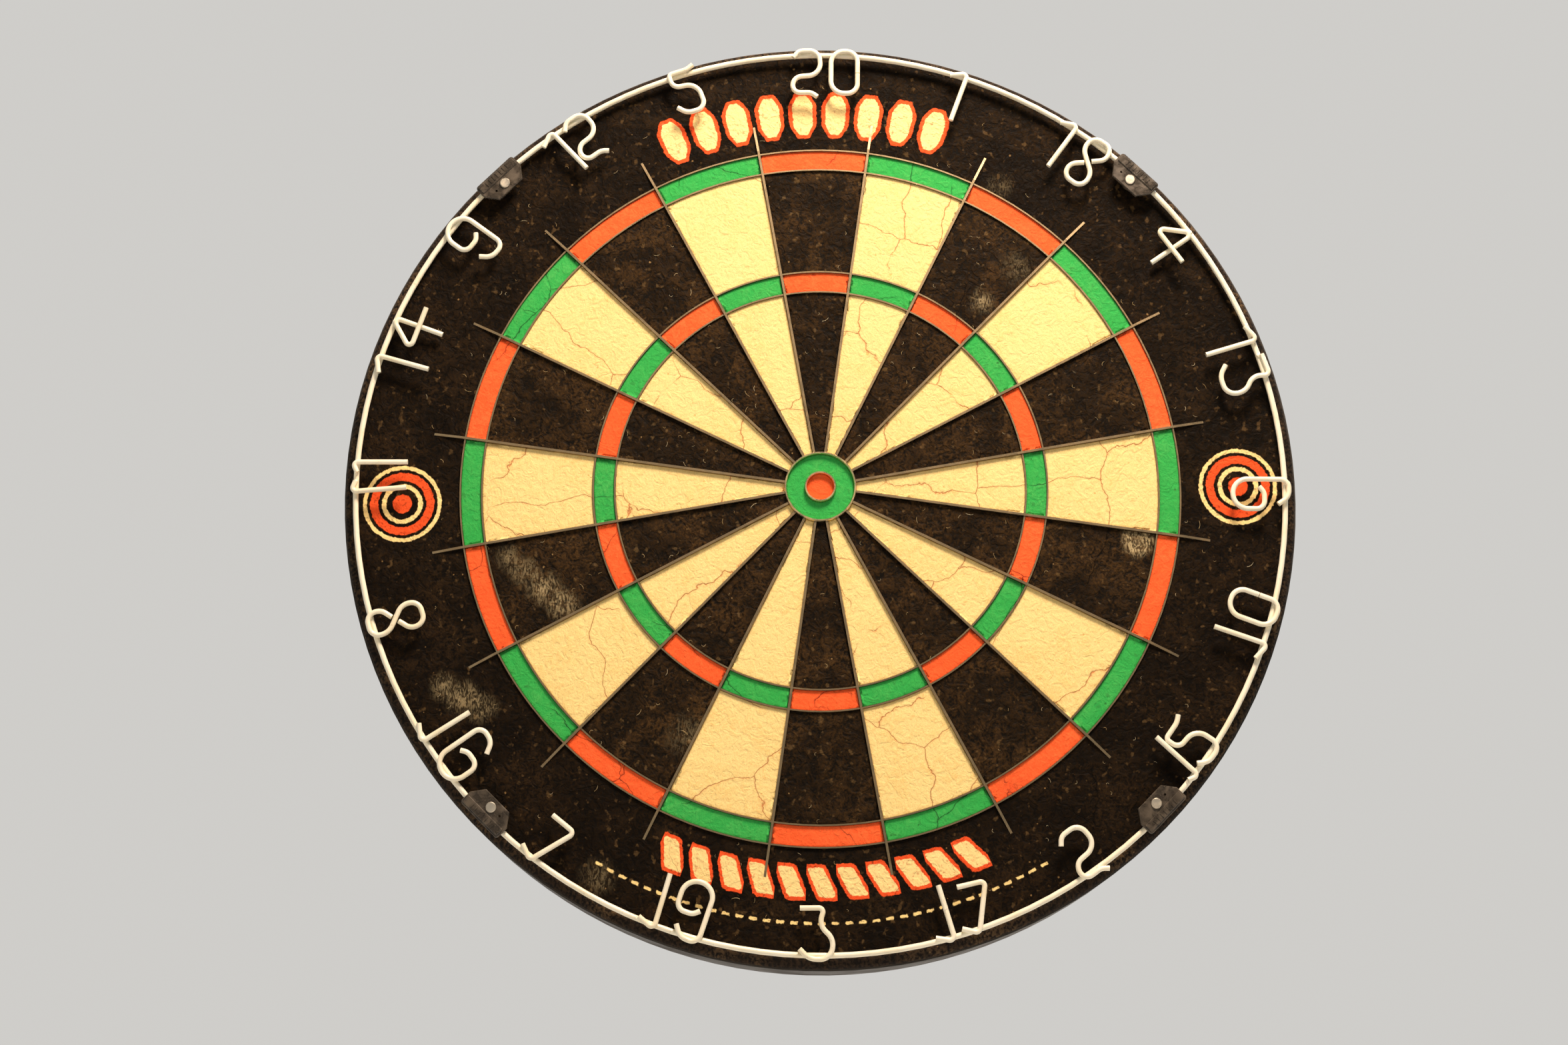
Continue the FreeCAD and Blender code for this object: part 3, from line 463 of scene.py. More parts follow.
@dataclass(frozen=True)
class BorderInk(SisalInk):
    """The black border with its printed rows of tiles and its roundels."""

    cream: Colour = (0.9, 0.7, 0.3)
    red: Colour = (0.8, 0.2, 0.05)
    rows: tuple[TileRow, ...] = ()
    roundels: tuple[Roundel, ...] = ()

    def printed(self, graph: Graph, ground: Socket) -> Socket:
        """Print the tiles and roundels over the black.

        Args:
            graph: the border's graph.
            ground: the black ink's colour.

        Returns:
            The colour with the print on it.
        """
        axes = graph.tree.nodes.new("ShaderNodeSeparateXYZ")
        graph.feed(axes.inputs[0], graph.place)
        x, z = axes.outputs[0], axes.outputs[2]
        reach = graph.math("SQRT", graph.math("MULTIPLY_ADD", x, x, graph.times(z, z)))
        turn = graph.math("ARCTAN2", x, z)
        full = graph.plus(turn, graph.times(graph.math("LESS_THAN", turn, -1.9), math.tau))
        bleed = graph.math("MULTIPLY_ADD", graph.noise(0.0014, 3), 0.0014, -0.0007)
        red: Feed = -1.0
        cream: Feed = -1.0
        for row in self.rows:
            depth = graph.plus(row.depth(graph, (reach, full)), bleed)
            red = graph.math("MAXIMUM", red, depth) if row.outline else red
            cream = graph.math("MAXIMUM", cream, graph.minus(depth, row.outline))
        for roundel in self.roundels:
            red = graph.math("MAXIMUM", red, graph.plus(roundel.depth(graph, (x, z), True), bleed))
            cream = graph.math("MAXIMUM", cream, graph.plus(roundel.depth(graph, (x, z), False), bleed))
        cover = graph.ramp(graph.noise(0.0016, 4), 0.3, 0.42, 0.55, 1.0)
        colour = graph.mix(graph.times(graph.ramp(red, -0.0001, 0.00025), cover), ground, self.red)
        return graph.mix(graph.times(graph.ramp(cream, -0.0001, 0.00025), cover), colour, self.cream)


@dataclass(frozen=True)
class RawSisal:
    """Bare or sprayed fibre at the rim and inside the slits."""

    name: str
    dark: Colour
    light: Colour
    dust: Colour
    dusty: float

    def graph(self) -> Graph:
        """Build the fibre's node graph."""
        graph = Graph(self.name)
        strands = graph.ramp(graph.noise(0.0014, 3, 0.4, (1.0, 0.22, 1.0)), 0.36, 0.66)
        patches = graph.ramp(graph.noise(0.03, 4, 0.8), 0.4, 0.68)
        base = graph.mix(strands, self.dark, self.light)
        share = graph.times(graph.times(patches, self.dusty), strands)
        base = graph.mix(share, base, self.dust)
        flecks = graph.specks(0.0035, 0.16, 0.3)
        base = graph.mix(graph.times(flecks, 0.7), base, self.dust)
        graph.set(Base_Color=base, Roughness=0.93, Specular_IOR_Level=0.2)
        graph.bump((strands, 0.00025), (graph.noise(0.0006, 2), 0.0001))
        return graph


@dataclass(frozen=True)
class Metal:
    """Bare or plated metal with a drawn or turned grain."""

    name: str
    colour: Colour
    tarnish: Colour
    roughness: float
    grain: float = 0.0004
    stretch: Colour = (1.0, 1.0, 1.0)
    tarnished: float = 0.35
    scratch: float = 0.00001
    stain: float = 0.006

    def graph(self) -> Graph:
        """Build the metal's node graph."""
        graph = Graph(self.name)
        brushed = graph.noise(self.grain, 3, 0.0, self.stretch)
        stain = graph.ramp(graph.noise(self.stain, 5, 0.7), 0.38, 0.74)
        spots = graph.specks(0.0024, 0.2, 0.2)
        share = graph.times(graph.math("MAXIMUM", stain, graph.times(spots, 0.6)), self.tarnished)
        graph.set(Base_Color=graph.mix(share, self.colour, self.tarnish), Metallic=1.0,
                  Roughness=graph.math("MULTIPLY_ADD", stain, 0.22, graph.ramp(brushed, 0.3, 0.7, self.roughness,
                                                                              self.roughness + 0.12)))
        graph.bump((brushed, self.scratch), (spots, -self.scratch * 2))
        return graph


@dataclass(frozen=True)
class Enamel:
    """Thick glossy dip-coated paint on wire or sheet, chipped here and there."""

    name: str
    colour: Colour
    aged: Colour
    chip: Colour
    roughness: float
    chips: float
    orange_peel: float = 0.00003

    def graph(self) -> Graph:
        """Build the paint's node graph."""
        graph = Graph(self.name)
        age = graph.ramp(graph.noise(0.018, 3, 0.5), 0.4, 0.7)
        base = graph.mix(graph.times(age, 0.6), self.colour, self.aged)
        dirt = graph.ramp(graph.noise(0.0016, 4), 0.62, 0.78)
        base = graph.mix(graph.times(dirt, 0.35), base, self.chip)
        chipped = graph.specks(0.011, 0.12, self.chips)
        base = graph.mix(chipped, base, self.chip)
        graph.set(Base_Color=base, Roughness=graph.ramp(graph.noise(0.002, 3), 0.3, 0.7, self.roughness,
                                                        self.roughness + 0.14),
                  Specular_IOR_Level=0.55, Coat_Weight=0.35, Coat_Roughness=0.12)
        graph.bump((graph.noise(0.0028, 2), self.orange_peel), (chipped, -0.00012))
        return graph


@dataclass(frozen=True)
class SmokyPlastic:
    """Dark moulded plastic that lets a little light into its thin edges."""

    name: str
    colour: Colour
    worn: Colour

    def graph(self) -> Graph:
        """Build the plastic's node graph."""
        graph = Graph(self.name)
        haze = graph.ramp(graph.noise(0.005, 4, 0.6), 0.38, 0.7)
        rubbed = graph.ramp(graph.noise(0.0007, 3, 0.0, (1.0, 1.0, 3.0)), 0.5, 0.75)
        share = graph.times(graph.math("MAXIMUM", haze, rubbed), 0.45)
        graph.set(Base_Color=graph.mix(share, self.colour, self.worn), Transmission_Weight=0.18,
                  Roughness=graph.ramp(haze, 0, 1, 0.26, 0.46), IOR=1.49, Specular_IOR_Level=0.5)
        graph.bump((graph.noise(0.0009, 2), 0.00002), (rubbed, -0.00001))
        return graph


@dataclass(frozen=True)
class PressedWood:
    """Chipboard: pressed flakes and dust, sanded smooth."""

    name: str
    light: Colour
    dark: Colour
    flake: Colour

    def graph(self) -> Graph:
        """Build the board's node graph."""
        graph = Graph(self.name)
        chips = graph.cells(0.0034, vector=graph.warped(0.006, 0.0026))
        luck = graph.tree.nodes.new("ShaderNodeSeparateColor")
        graph.feed(luck.inputs[0], chips.outputs["Color"])
        base = graph.mix(graph.ramp(luck.outputs[0], 0.1, 0.9), self.light, self.dark)
        base = graph.mix(graph.times(graph.ramp(luck.outputs[1], 0.72, 0.84), 0.7), base, self.flake)
        dust = graph.ramp(graph.noise(0.0009, 3), 0.35, 0.7)
        base = graph.mix(graph.times(dust, 0.3), base, self.dark)
        graph.set(Base_Color=base, Roughness=0.78, Specular_IOR_Level=0.3)
        edges = graph.ramp(chips.outputs["Distance"], 0.3, 0.75)
        graph.bump((edges, -0.00008), (dust, 0.00004))
        return graph


@dataclass(frozen=True)
class Rubber:
    """Matt moulded rubber with a bloom of dust."""

    name: str
    colour: Colour
    bloom: Colour

    def graph(self) -> Graph:
        """Build the rubber's node graph."""
        graph = Graph(self.name)
        dust = graph.ramp(graph.noise(0.007, 4, 0.5), 0.4, 0.72)
        graph.set(Base_Color=graph.mix(graph.times(dust, 0.4), self.colour, self.bloom),
                  Roughness=graph.ramp(dust, 0, 1, 0.6, 0.85), Specular_IOR_Level=0.35)
        graph.bump((graph.noise(0.0007, 3), 0.00005))
        return graph


@dataclass(frozen=True)
class Strand:
    """A loose dry fibre."""

    name: str
    colour: Colour
    tip: Colour

    def graph(self) -> Graph:
        """Build the fibre's node graph."""
        graph = Graph(self.name)
        shade = graph.ramp(graph.noise(0.009, 2), 0.4, 0.62)
        graph.set(Base_Color=graph.mix(shade, self.colour, self.tip), Roughness=0.75, Specular_IOR_Level=0.3)
        graph.bump((graph.noise(0.0003, 2), 0.00002))
        return graph


# ---------------------------------------------------------------- colours of this board
BLACK = linear(13, 10, 6)
BLACK_WORN = linear(80, 58, 32)
CREAM = linear(250, 223, 150)
CREAM_WORN = linear(240, 198, 118)
RED = linear(252, 96, 44)
RED_WORN = linear(253, 130, 72)
GREEN = linear(46, 170, 76)
GREEN_WORN = linear(98, 196, 100)
CHALK = linear(196, 176, 132)

FACE_SCUFFS = (
    Scuff(0.149, -0.0275, 0.0085, hollow=0.62, strength=0.85),
    Scuff(0.080, 0.0915, 0.0085, strength=0.6),
    Scuff(-0.147, -0.032, 0.009, strength=0.45),
    Scuff(-0.139, -0.039, 0.010, strength=0.5),
    Scuff(-0.130, -0.047, 0.0115, strength=0.7),
    Scuff(-0.121, -0.055, 0.0105, strength=0.75),
    Scuff(0.097, 0.108, 0.012, strength=0.25),
    Scuff(-0.062, -0.118, 0.016, strength=0.25),
)
BORDER_SCUFFS = (
    Scuff(-0.177, -0.093, 0.0095, strength=0.5),
    Scuff(-0.168, -0.098, 0.011, strength=0.6),
    Scuff(-0.159, -0.103, 0.010, strength=0.55),
    Scuff(-0.105, -0.182, 0.012, strength=0.3),
    Scuff(0.090, 0.150, 0.010, strength=0.2),
)

BLACK_INK = SisalInk("black_ink_on_sisal", BLACK, BLACK_WORN, linear(176, 142, 92), linear(14, 10, 6), mottle=0.9,
                     speck_chance=0.16, crack_share=0.35, roughness=0.6, sheen=0.07, creasing=MM * 0.3,
                     scuffs=FACE_SCUFFS)
CREAM_INK = SisalInk("cream_ink_on_sisal", CREAM, CREAM_WORN, linear(232, 168, 88), linear(190, 104, 54), mottle=0.6,
                     speck_chance=0.26, crack_share=0.95)
RED_INK = SisalInk("red_ink_on_sisal", RED, RED_WORN, linear(186, 60, 30), linear(120, 34, 18), mottle=0.5,
                   speck_chance=0.18, crack_share=0.6)
GREEN_INK = SisalInk("green_ink_on_sisal", GREEN, GREEN_WORN, linear(40, 92, 42), linear(18, 60, 28), mottle=0.5,
                     speck_chance=0.3, crack_share=0.6)
ROUNDEL_RINGS = (
    (MM * 17.6, MM * 1.0, False), (MM * 13.2, MM * 2.0, True), (MM * 8.6, MM * 1.1, False), (0.0, MM * 4.6, True),
)
BORDER_INK = BorderInk(
    "border_ink_on_sisal", linear(11, 8, 5), linear(56, 41, 24), linear(160, 126, 80), linear(10, 8, 5), mottle=0.8,
    speck_chance=0.18, crack_share=0.3, roughness=0.62, sheen=0.06, creasing=MM * 0.25,
    scuffs=BORDER_SCUFFS, cream=linear(252, 222, 150), red=linear(240, 88, 42),
    rows=(
        TileRow(Tile.LOZENGE, -1.5, 4.9, 9, MM * 189.0, MM * 6.9, MM * 12.2, MM * 1.9),
        TileRow(Tile.SLANT, 181.0, 4.3, 11, MM * 186.0, MM * 5.6, MM * 8.4, MM * 1.6),
        TileRow(Tile.DASH, 181.0, 1.75, 35, MM * 204.5, MM * 1.9, MM * 0.75, 0.0),
    ),
    roundels=(Roundel(0.1975, -0.003, ROUNDEL_RINGS), Roundel(-0.1975, -0.005, ROUNDEL_RINGS)),
)
CORE_FIBRE = RawSisal("sisal_core_fibre", linear(40, 31, 22), linear(84, 66, 44), linear(150, 124, 86), 0.5)
RIM_FIBRE = RawSisal("sisal_rim_fibre", linear(18, 14, 10), linear(50, 38, 26), linear(118, 94, 64), 0.5)
BLADE_STEEL = Metal("blade_steel", linear(176, 156, 122), linear(96, 80, 56), 0.3, stretch=(1.0, 0.1, 1.0),
                    tarnished=0.6)
BULL_STEEL = Metal("bull_ring_steel", linear(232, 214, 168), linear(150, 118, 70), 0.24, tarnished=0.4)
BAND_STEEL = Metal("band_steel", linear(92, 88, 82), linear(48, 40, 32), 0.38, stretch=(1.0, 6.0, 1.0),
                   tarnished=0.4, stain=0.028)
ZINC = Metal("zinc_plate", linear(196, 192, 180), linear(140, 132, 112), 0.28, tarnished=0.35)
NAIL_PLATE = Metal("nickel_plate", linear(222, 214, 196), linear(150, 138, 112), 0.32, tarnished=0.3)
BRASS = Metal("brass", linear(214, 172, 92), linear(128, 92, 44), 0.3, tarnished=0.45)
WIRE_ENAMEL = Enamel("cream_wire_enamel", linear(250, 245, 222), linear(240, 226, 184), linear(150, 128, 92), 0.28,
                     0.12)
BRACKET_PAINT = Enamel("black_bracket_paint", linear(30, 30, 32), linear(46, 44, 42), linear(120, 112, 100), 0.36,
                       0.35)
CLIP_PLASTIC = SmokyPlastic("smoky_clip_plastic", linear(54, 48, 40), linear(132, 118, 98))
CHIPBOARD = PressedWood("pressed_wood", linear(176, 140, 98), linear(146, 110, 72), linear(200, 170, 126))
PAD_RUBBER = Rubber("black_pad_rubber", linear(26, 26, 27), linear(92, 86, 78))
PALE_FIBRE = Strand("pale_loose_fibre", linear(206, 178, 122), linear(238, 222, 180))


# ---------------------------------------------------------------- modelling helpers
def only(piece: bpy.types.Object) -> None:
    """Select one object, make it active and deselect all else."""
    bpy.ops.object.select_all(action="DESELECT")
    piece.select_set(True)
    bpy.context.view_layer.objects.active = piece


def named(name: str) -> bpy.types.Object:
    """Name the active object and its mesh."""
    piece = bpy.context.object
    piece.name = name
    piece.data.name = name
    return piece


def settle(piece: bpy.types.Object) -> bpy.types.Object:
    """Put the object's place into its mesh."""
    only(piece)
    bpy.ops.object.transform_apply(location=True, rotation=True, scale=True)
    return piece


def choose(piece: bpy.types.Object, kind: str, test: Callable[[Vector], bool]) -> int:
    """Select edges, faces or vertices by their middle, in edit mode.

    Args:
        piece: the object in edit mode.
        kind: "VERT", "EDGE" or "FACE".
        test: whether the element at this place is wanted.

    Returns:
        How many are selected.
    """
    bpy.ops.mesh.select_mode(type=kind)
    bpy.ops.mesh.select_all(action="DESELECT")
    grid = bmesh.from_edit_mesh(piece.data)
    elements = {"VERT": grid.verts, "EDGE": grid.edges, "FACE": grid.faces}[kind]
    count = 0
    for element in elements:
        if kind == "VERT":
            middle = element.co
        elif kind == "EDGE":
            middle = (element.verts[0].co + element.verts[1].co) / 2
        else:
            middle = element.calc_center_median()
        if test(middle):
            element.select_set(True)
            count += 1
    grid.select_flush_mode()
    bmesh.update_edit_mesh(piece.data)
    return count


def finish_modifiers(piece: bpy.types.Object) -> None:
    """Apply every modifier in order."""
    only(piece)
    for modifier in list(piece.modifiers):
        bpy.ops.object.modifier_apply(modifier=modifier.name)


def join(pieces: Iterable[bpy.types.Object], name: str) -> bpy.types.Object:
    """Make one object of several.

    Args:
        pieces: the objects, of which the first is kept.
        name: the new object's name.

    Returns:
        The joined object.
    """
    pieces = list(pieces)
    only(pieces[0])
    for piece in pieces[1:]:
        piece.select_set(True)
    if len(pieces) > 1:
        bpy.ops.object.join()
    return named(name)


def copied(master: bpy.types.Object, place: Matrix) -> bpy.types.Object:
    """A copy of an object with its own mesh, moved by a matrix."""
    piece = master.copy()
    piece.data = master.data.copy()
    bpy.context.collection.objects.link(piece)
    piece.data.transform(place)
    return piece


def discard(piece: bpy.types.Object) -> None:
    """Delete an object that was only a step on the way."""
    bpy.data.objects.remove(piece, do_unlink=True)


def dress(piece: bpy.types.Object, material: bpy.types.Material) -> None:
    """Give an object one material in every slot."""
    if not piece.material_slots:
        piece.data.materials.append(material)
    for material_slot in piece.material_slots:
        material_slot.material = material


def dress_nodes(names: Iterable[str], finish: object) -> bpy.types.Material:
    """Give CAD nodes a finish.

    Args:
        names: the nodes.
        finish: any finish with a graph method.

    Returns:
        The material.
    """
    material = finish.graph().material
    for name in names:
        dress(frame["nodes"][name], material)
    return material


def mount(piece: bpy.types.Object, body: str, replaces: Iterable[str] = ()) -> bpy.types.Object:
    """Hand a finished piece over to the frame.

    Args:
        piece: the finished piece, in place.
        body: the CAD body that it rides on.
        replaces: the CAD nodes that it stands for.

    Returns:
        The piece.
    """
    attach(piece, body)
    for node in replaces:
        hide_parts(node)
    LOG.info("%s: %d faces, rides on %s", piece.name, len(piece.data.polygons), body)
    return piece


def relief(piece: bpy.types.Object, grain: float, depth: float, direction: str = "Y") -> None:
    """Push a surface about by smooth noise.

    Args:
        piece: the object.
        grain: the noise's size in metres.
        depth: how far it pushes in metres.
        direction: the Displace modifier's direction.
    """
    texture = bpy.data.textures.new(f"{piece.name}_relief", "CLOUDS")
    texture.noise_scale = grain
    texture.noise_depth = 2
    modifier = piece.modifiers.new("relief", "DISPLACE")
    modifier.texture = texture
    modifier.texture_coords = "LOCAL"
    modifier.direction = direction
    modifier.strength = depth
    modifier.mid_level = 0.0 if direction == "Y" else 0.5
    finish_modifiers(piece)


def thicken(piece: bpy.types.Object, thickness: float) -> None:
    """Close a sheet by giving it a back."""
    modifier = piece.modifiers.new("thickness", "SOLIDIFY")
    modifier.thickness = thickness
    modifier.offset = -1.0
    modifier.use_even_offset = False
    finish_modifiers(piece)


def face_player(sheet: bpy.types.Object) -> None:
    """Turn a sheet's faces to the player, in edit mode."""
    bpy.ops.mesh.select_all(action="SELECT")
    bpy.ops.mesh.normals_make_consistent(inside=False)
    grid = bmesh.from_edit_mesh(sheet.data)
    grid.faces.ensure_lookup_table()
    if grid.faces[0].normal.y > 0:
        bpy.ops.mesh.flip_normals()


def grown_ring(name: str, around: int, rings: list[tuple[float, float]]) -> bpy.types.Object:
    """A sheet grown outwards from a circle about the board's axis.

    Args:
        name: the object's name.
        around: how many corners the circle has.
        rings: the radius and level of each ring, from the inside out.

    Returns:
        The sheet, facing the player.
    """
    reach, level = rings[0]
    bpy.ops.object.select_all(action="DESELECT")
    bpy.ops.mesh.primitive_circle_add(vertices=around, radius=reach, location=(0, level, 0),
                                      rotation=(math.pi / 2, 0, 0))
    sheet = settle(named(name))
    bpy.ops.object.mode_set(mode="EDIT")
    bpy.ops.mesh.select_all(action="SELECT")
    for grown, dropped in rings[1:]:
        bpy.ops.mesh.extrude_edges_move()
        bpy.ops.transform.resize(value=(grown / reach, 1, grown / reach), center_override=(0, level, 0))
        bpy.ops.transform.translate(value=(0, dropped - level, 0))
        reach, level = grown, dropped
    face_player(sheet)
    bpy.ops.object.mode_set(mode="OBJECT")
    return sheet


# ---------------------------------------------------------------- the printed face
@dataclass
class PrintedFace:
    """The fibrous coloured skins of the playing face, cut where the blades stand."""

    face: float
    radii: dict[str, tuple[float, float]]
    half_radial: float
    grid: float = MM * 1.45
    edge: float = MM * 0.4
    drop: float = MM * 0.1
    segments: int = 20

    def ring_sheet(self, name: str, inner: float, outer: float) -> bpy.types.Object:
        """A flat ring of small faces.

        Args:
            name: the object's name.
            inner, outer: its radii.

        Returns:
            The sheet, facing the player.
        """
        around = max(4, round(outer * math.tau / self.segments / self.grid)) * self.segments
        steps = max(2, round((outer - inner) / self.grid))
        rings = [(inner + (outer - inner) * step / steps, self.face) for step in range(steps + 1)]
        return grown_ring(name, around, rings)

    def part_cells(self, sheet: bpy.types.Object) -> None:
        """Cut the slots of the radial blades out of a sheet."""
        gap = self.half_radial + HAIR
        only(sheet)
        bpy.ops.object.mode_set(mode="EDIT")
        normals = []
        for index in range(self.segments // 2):
            angle = math.tau / self.segments * (index + 0.5)
            normal = Vector((math.cos(angle), 0, -math.sin(angle)))
            normals.append(normal)
            for side in (-1, 1):
                bpy.ops.mesh.select_all(action="SELECT")
                bpy.ops.mesh.bisect(plane_co=normal * gap * side, plane_no=normal)
        choose(sheet, "FACE", lambda middle: any(abs(middle.dot(normal)) < gap for normal in normals))
        bpy.ops.mesh.delete(type="FACE")
        bpy.ops.object.mode_set(mode="OBJECT")

    def parted(self, sheet: bpy.types.Object, name: str) -> tuple[bpy.types.Object, bpy.types.Object]:
        """Part a cut sheet into its even and its odd segments.

        Args:
            sheet: the sheet, whose segment 0 is at the top.
            name: the start of the odd sheet's name.

        Returns:
            The even and the odd sheet.
        """
        def is_odd(middle: Vector) -> bool:
            turn = math.atan2(middle.x, middle.z) / math.tau * self.segments
            return round(turn) % 2 == 1

        only(sheet)
        bpy.ops.object.mode_set(mode="EDIT")
        choose(sheet, "FACE", is_odd)
        bpy.ops.mesh.separate(type="SELECTED")
        bpy.ops.object.mode_set(mode="OBJECT")
        odd = next(piece for piece in bpy.context.selected_objects if piece != sheet)
        odd.name = f"{name}_odd"
        return sheet, odd

    def soften(self, skin: bpy.types.Object) -> None:
        """Round the edges of every cell, roughen its face and give it a back."""
        only(skin)
        bpy.ops.object.mode_set(mode="EDIT")
        bpy.ops.mesh.select_mode(type="FACE")
        bpy.ops.mesh.select_all(action="SELECT")
        bpy.ops.mesh.inset(thickness=self.edge, depth=0, use_boundary=True, use_even_offset=False)
        bpy.ops.mesh.select_all(action="SELECT")
        bpy.ops.mesh.region_to_loop()
        bpy.ops.transform.translate(value=(0, self.drop, 0))
        bpy.ops.object.mode_set(mode="OBJECT")
        relief(skin, MM * 9.0, MM * 0.09)
        relief(skin, MM * 2.2, MM * 0.07)
        thicken(skin, MM * 0.12)
        only(skin)
        bpy.ops.object.shade_smooth()

    def build(self) -> None:
        """Build and dress the seven skins."""
        sheets: dict[str, list[bpy.types.Object]] = {"black": [], "cream": [], "red": [], "green": []}
        for band, colours in (("inner_single", ("black", "cream")), ("outer_single", ("black", "cream")),
                              ("treble", ("red", "green")), ("double", ("red", "green"))):
            sheet = self.ring_sheet(f"{band}_sheet", *self.radii[band])
            self.part_cells(sheet)
            for colour, part in zip(colours, self.parted(sheet, band)):
                sheets[colour].append(part)
        inks = {"black": (BLACK_INK, "black_ink"), "cream": (CREAM_INK, "cream_ink"), "red": (RED_INK, "red_ink"),
                "green": (GREEN_INK, "green_ink")}
        materials = {}
        for colour, parts in sheets.items():
            skin = join(parts, f"{colour}_sisal_segments")
            self.soften(skin)
            ink, slot = inks[colour]
            materials[colour] = ink.graph().material
            dress(skin, materials[colour])
            mount(skin, "board", [f"{colour}_print"])
        for band, node, colour in (("outer_bull", "outer_bull_print", "green"), ("bull", "bull_print", "red")):
            skin = self.ring_sheet(f"{band}_sisal", *self.radii[band])
            if band == "bull":
                self.close_middle(skin)
            self.soften(skin)
            dress(skin, materials[colour])
            mount(skin, "board", [node])
        border = self.ring_sheet("border_sisal", *self.radii["border"])
        self.soften(border)
        dress(border, BORDER_INK.graph().material)
        mount(border, "board", ["border_print"])

    def close_middle(self, sheet: bpy.types.Object) -> None:
        """Fill the small hole in the middle of the bull."""
        only(sheet)
        bpy.ops.object.mode_set(mode="EDIT")
        choose(sheet, "VERT", lambda place: math.hypot(place.x, place.z) < self.radii["bull"][0] * 1.05)
        bpy.ops.mesh.edge_face_add()
        face_player(sheet)
        bpy.ops.object.mode_set(mode="OBJECT")


@dataclass
class Rim:
    """The ragged rounded edge of the sisal outside the border."""

    face: float
    inner: float
    outer: float
    depth: float = MM * 4.0
    around: int = 960
    steps: int = 8

    def build(self) -> None:
        """Build the rim skin and roughen it."""
        span = self.outer - self.inner
        turns = [math.pi / 2 * step / self.steps for step in range(self.steps + 1)]
        skin = grown_ring("sisal_rim", self.around, [
            (self.inner + span * math.sin(turn), self.face + self.depth * (1 - math.cos(turn))) for turn in turns])
        relief(skin, MM * 1.6, MM * 0.34, "NORMAL")
        relief(skin, MM * 14.0, MM * 0.3, "NORMAL")
        thicken(skin, MM * 0.6)
        only(skin)
        bpy.ops.object.shade_smooth()
        dress(skin, RIM_FIBRE.graph().material)
        mount(skin, "board")


@dataclass
class LooseFibres:
    """Short curled fibres that lie on the dark parts of the face."""

    face: float
    count: int = 230
    seed: int = 41
    sector: float = 18.0                            # degrees
    reaches: tuple[float, float] = (30, 205)        # millimetres, as are the next three
    border_start: float = 172
    coloured: tuple[tuple[float, float], ...] = ((97, 109), (160, 172))
    blade_room: float = 2.5

    def curl(self, name: str, radius: float, sweep: float, thick: float) -> bpy.types.Object:
        """One curled fibre at the origin, flat on the XZ plane.

        Args:
            name: the object's name.
            radius: the curl's radius.
            sweep: its angle in degrees.
            thick: the fibre's radius.

        Returns:
            The fibre.
        """
        bpy.ops.object.select_all(action="DESELECT")
        bpy.ops.mesh.primitive_circle_add(vertices=4, radius=thick, fill_type="NGON", location=(radius, 0, 0))
        strand = settle(named(name))
        bpy.ops.object.mode_set(mode="EDIT")
        bpy.ops.mesh.select_all(action="SELECT")
        bpy.ops.mesh.spin(steps=5, angle=math.radians(sweep), center=(0, 0, 0), axis=(0, 1, 0))
        bpy.ops.transform.resize(value=(0.3, 0.3, 0.3))
        bpy.ops.mesh.select_all(action="SELECT")
        bpy.ops.transform.translate(value=(-radius, 0, 0))
        bpy.ops.mesh.normals_make_consistent(inside=False)
        bpy.ops.object.mode_set(mode="OBJECT")
        return strand

    def build(self) -> None:
        """Scatter the fibres over the black segments and the border."""
        luck = random.Random(self.seed)
        masters = [self.curl("curl_short", MM * 1.3, 95, MM * 0.05),
                   self.curl("curl_long", MM * 3.1, 60, MM * 0.055),
                   self.curl("curl_tight", MM * 0.8, 170, MM * 0.045)]
        copies = []
        while len(copies) < self.count:
            reach = MM * luck.uniform(*self.reaches)
            angle = luck.uniform(0, 360)
            dark = reach > MM * self.border_start or round(angle / self.sector) % 2 == 0
            plain = not any(MM * low < reach < MM * high for low, high in self.coloured)
            from_blade = abs((angle / self.sector) % 1 - 0.5) * math.radians(self.sector) * reach
            off_blade = from_blade > MM * self.blade_room
            if not (dark and plain and off_blade):
                continue
            turn = Matrix.Rotation(luck.uniform(0, math.tau), 4, "Y")
            lean = Matrix.Rotation(luck.uniform(-0.12, 0.12), 4, "X")
            size = Matrix.Scale(luck.uniform(0.6, 1.25), 4)
            spot = Vector((reach * math.sin(math.radians(angle)), self.face - MM * 0.01,
                           reach * math.cos(math.radians(angle))))
            copies.append(copied(luck.choice(masters), Matrix.Translation(spot) @ turn @ lean @ size))
        for master in masters:
            discard(master)
        fibres = join(copies, "loose_fibres")
        dress(fibres, PALE_FIBRE.graph().material)
        mount(fibres, "board")


# ---------------------------------------------------------------- metalwork on the face
@dataclass
class BladeGrid:
    """The steel blades and bull rings, which keep their CAD shapes."""

    blades: tuple[str, ...] = ("radial_blades", "double_outer_ring", "double_inner_ring", "treble_outer_ring",
                               "treble_inner_ring")
    bulls: tuple[str, ...] = ("outer_bull_ring", "bull_ring")

    def build(self) -> None:
        """Dress the blades and rings."""
        dress_nodes(self.blades, BLADE_STEEL)
        dress_nodes(self.bulls, BULL_STEEL)


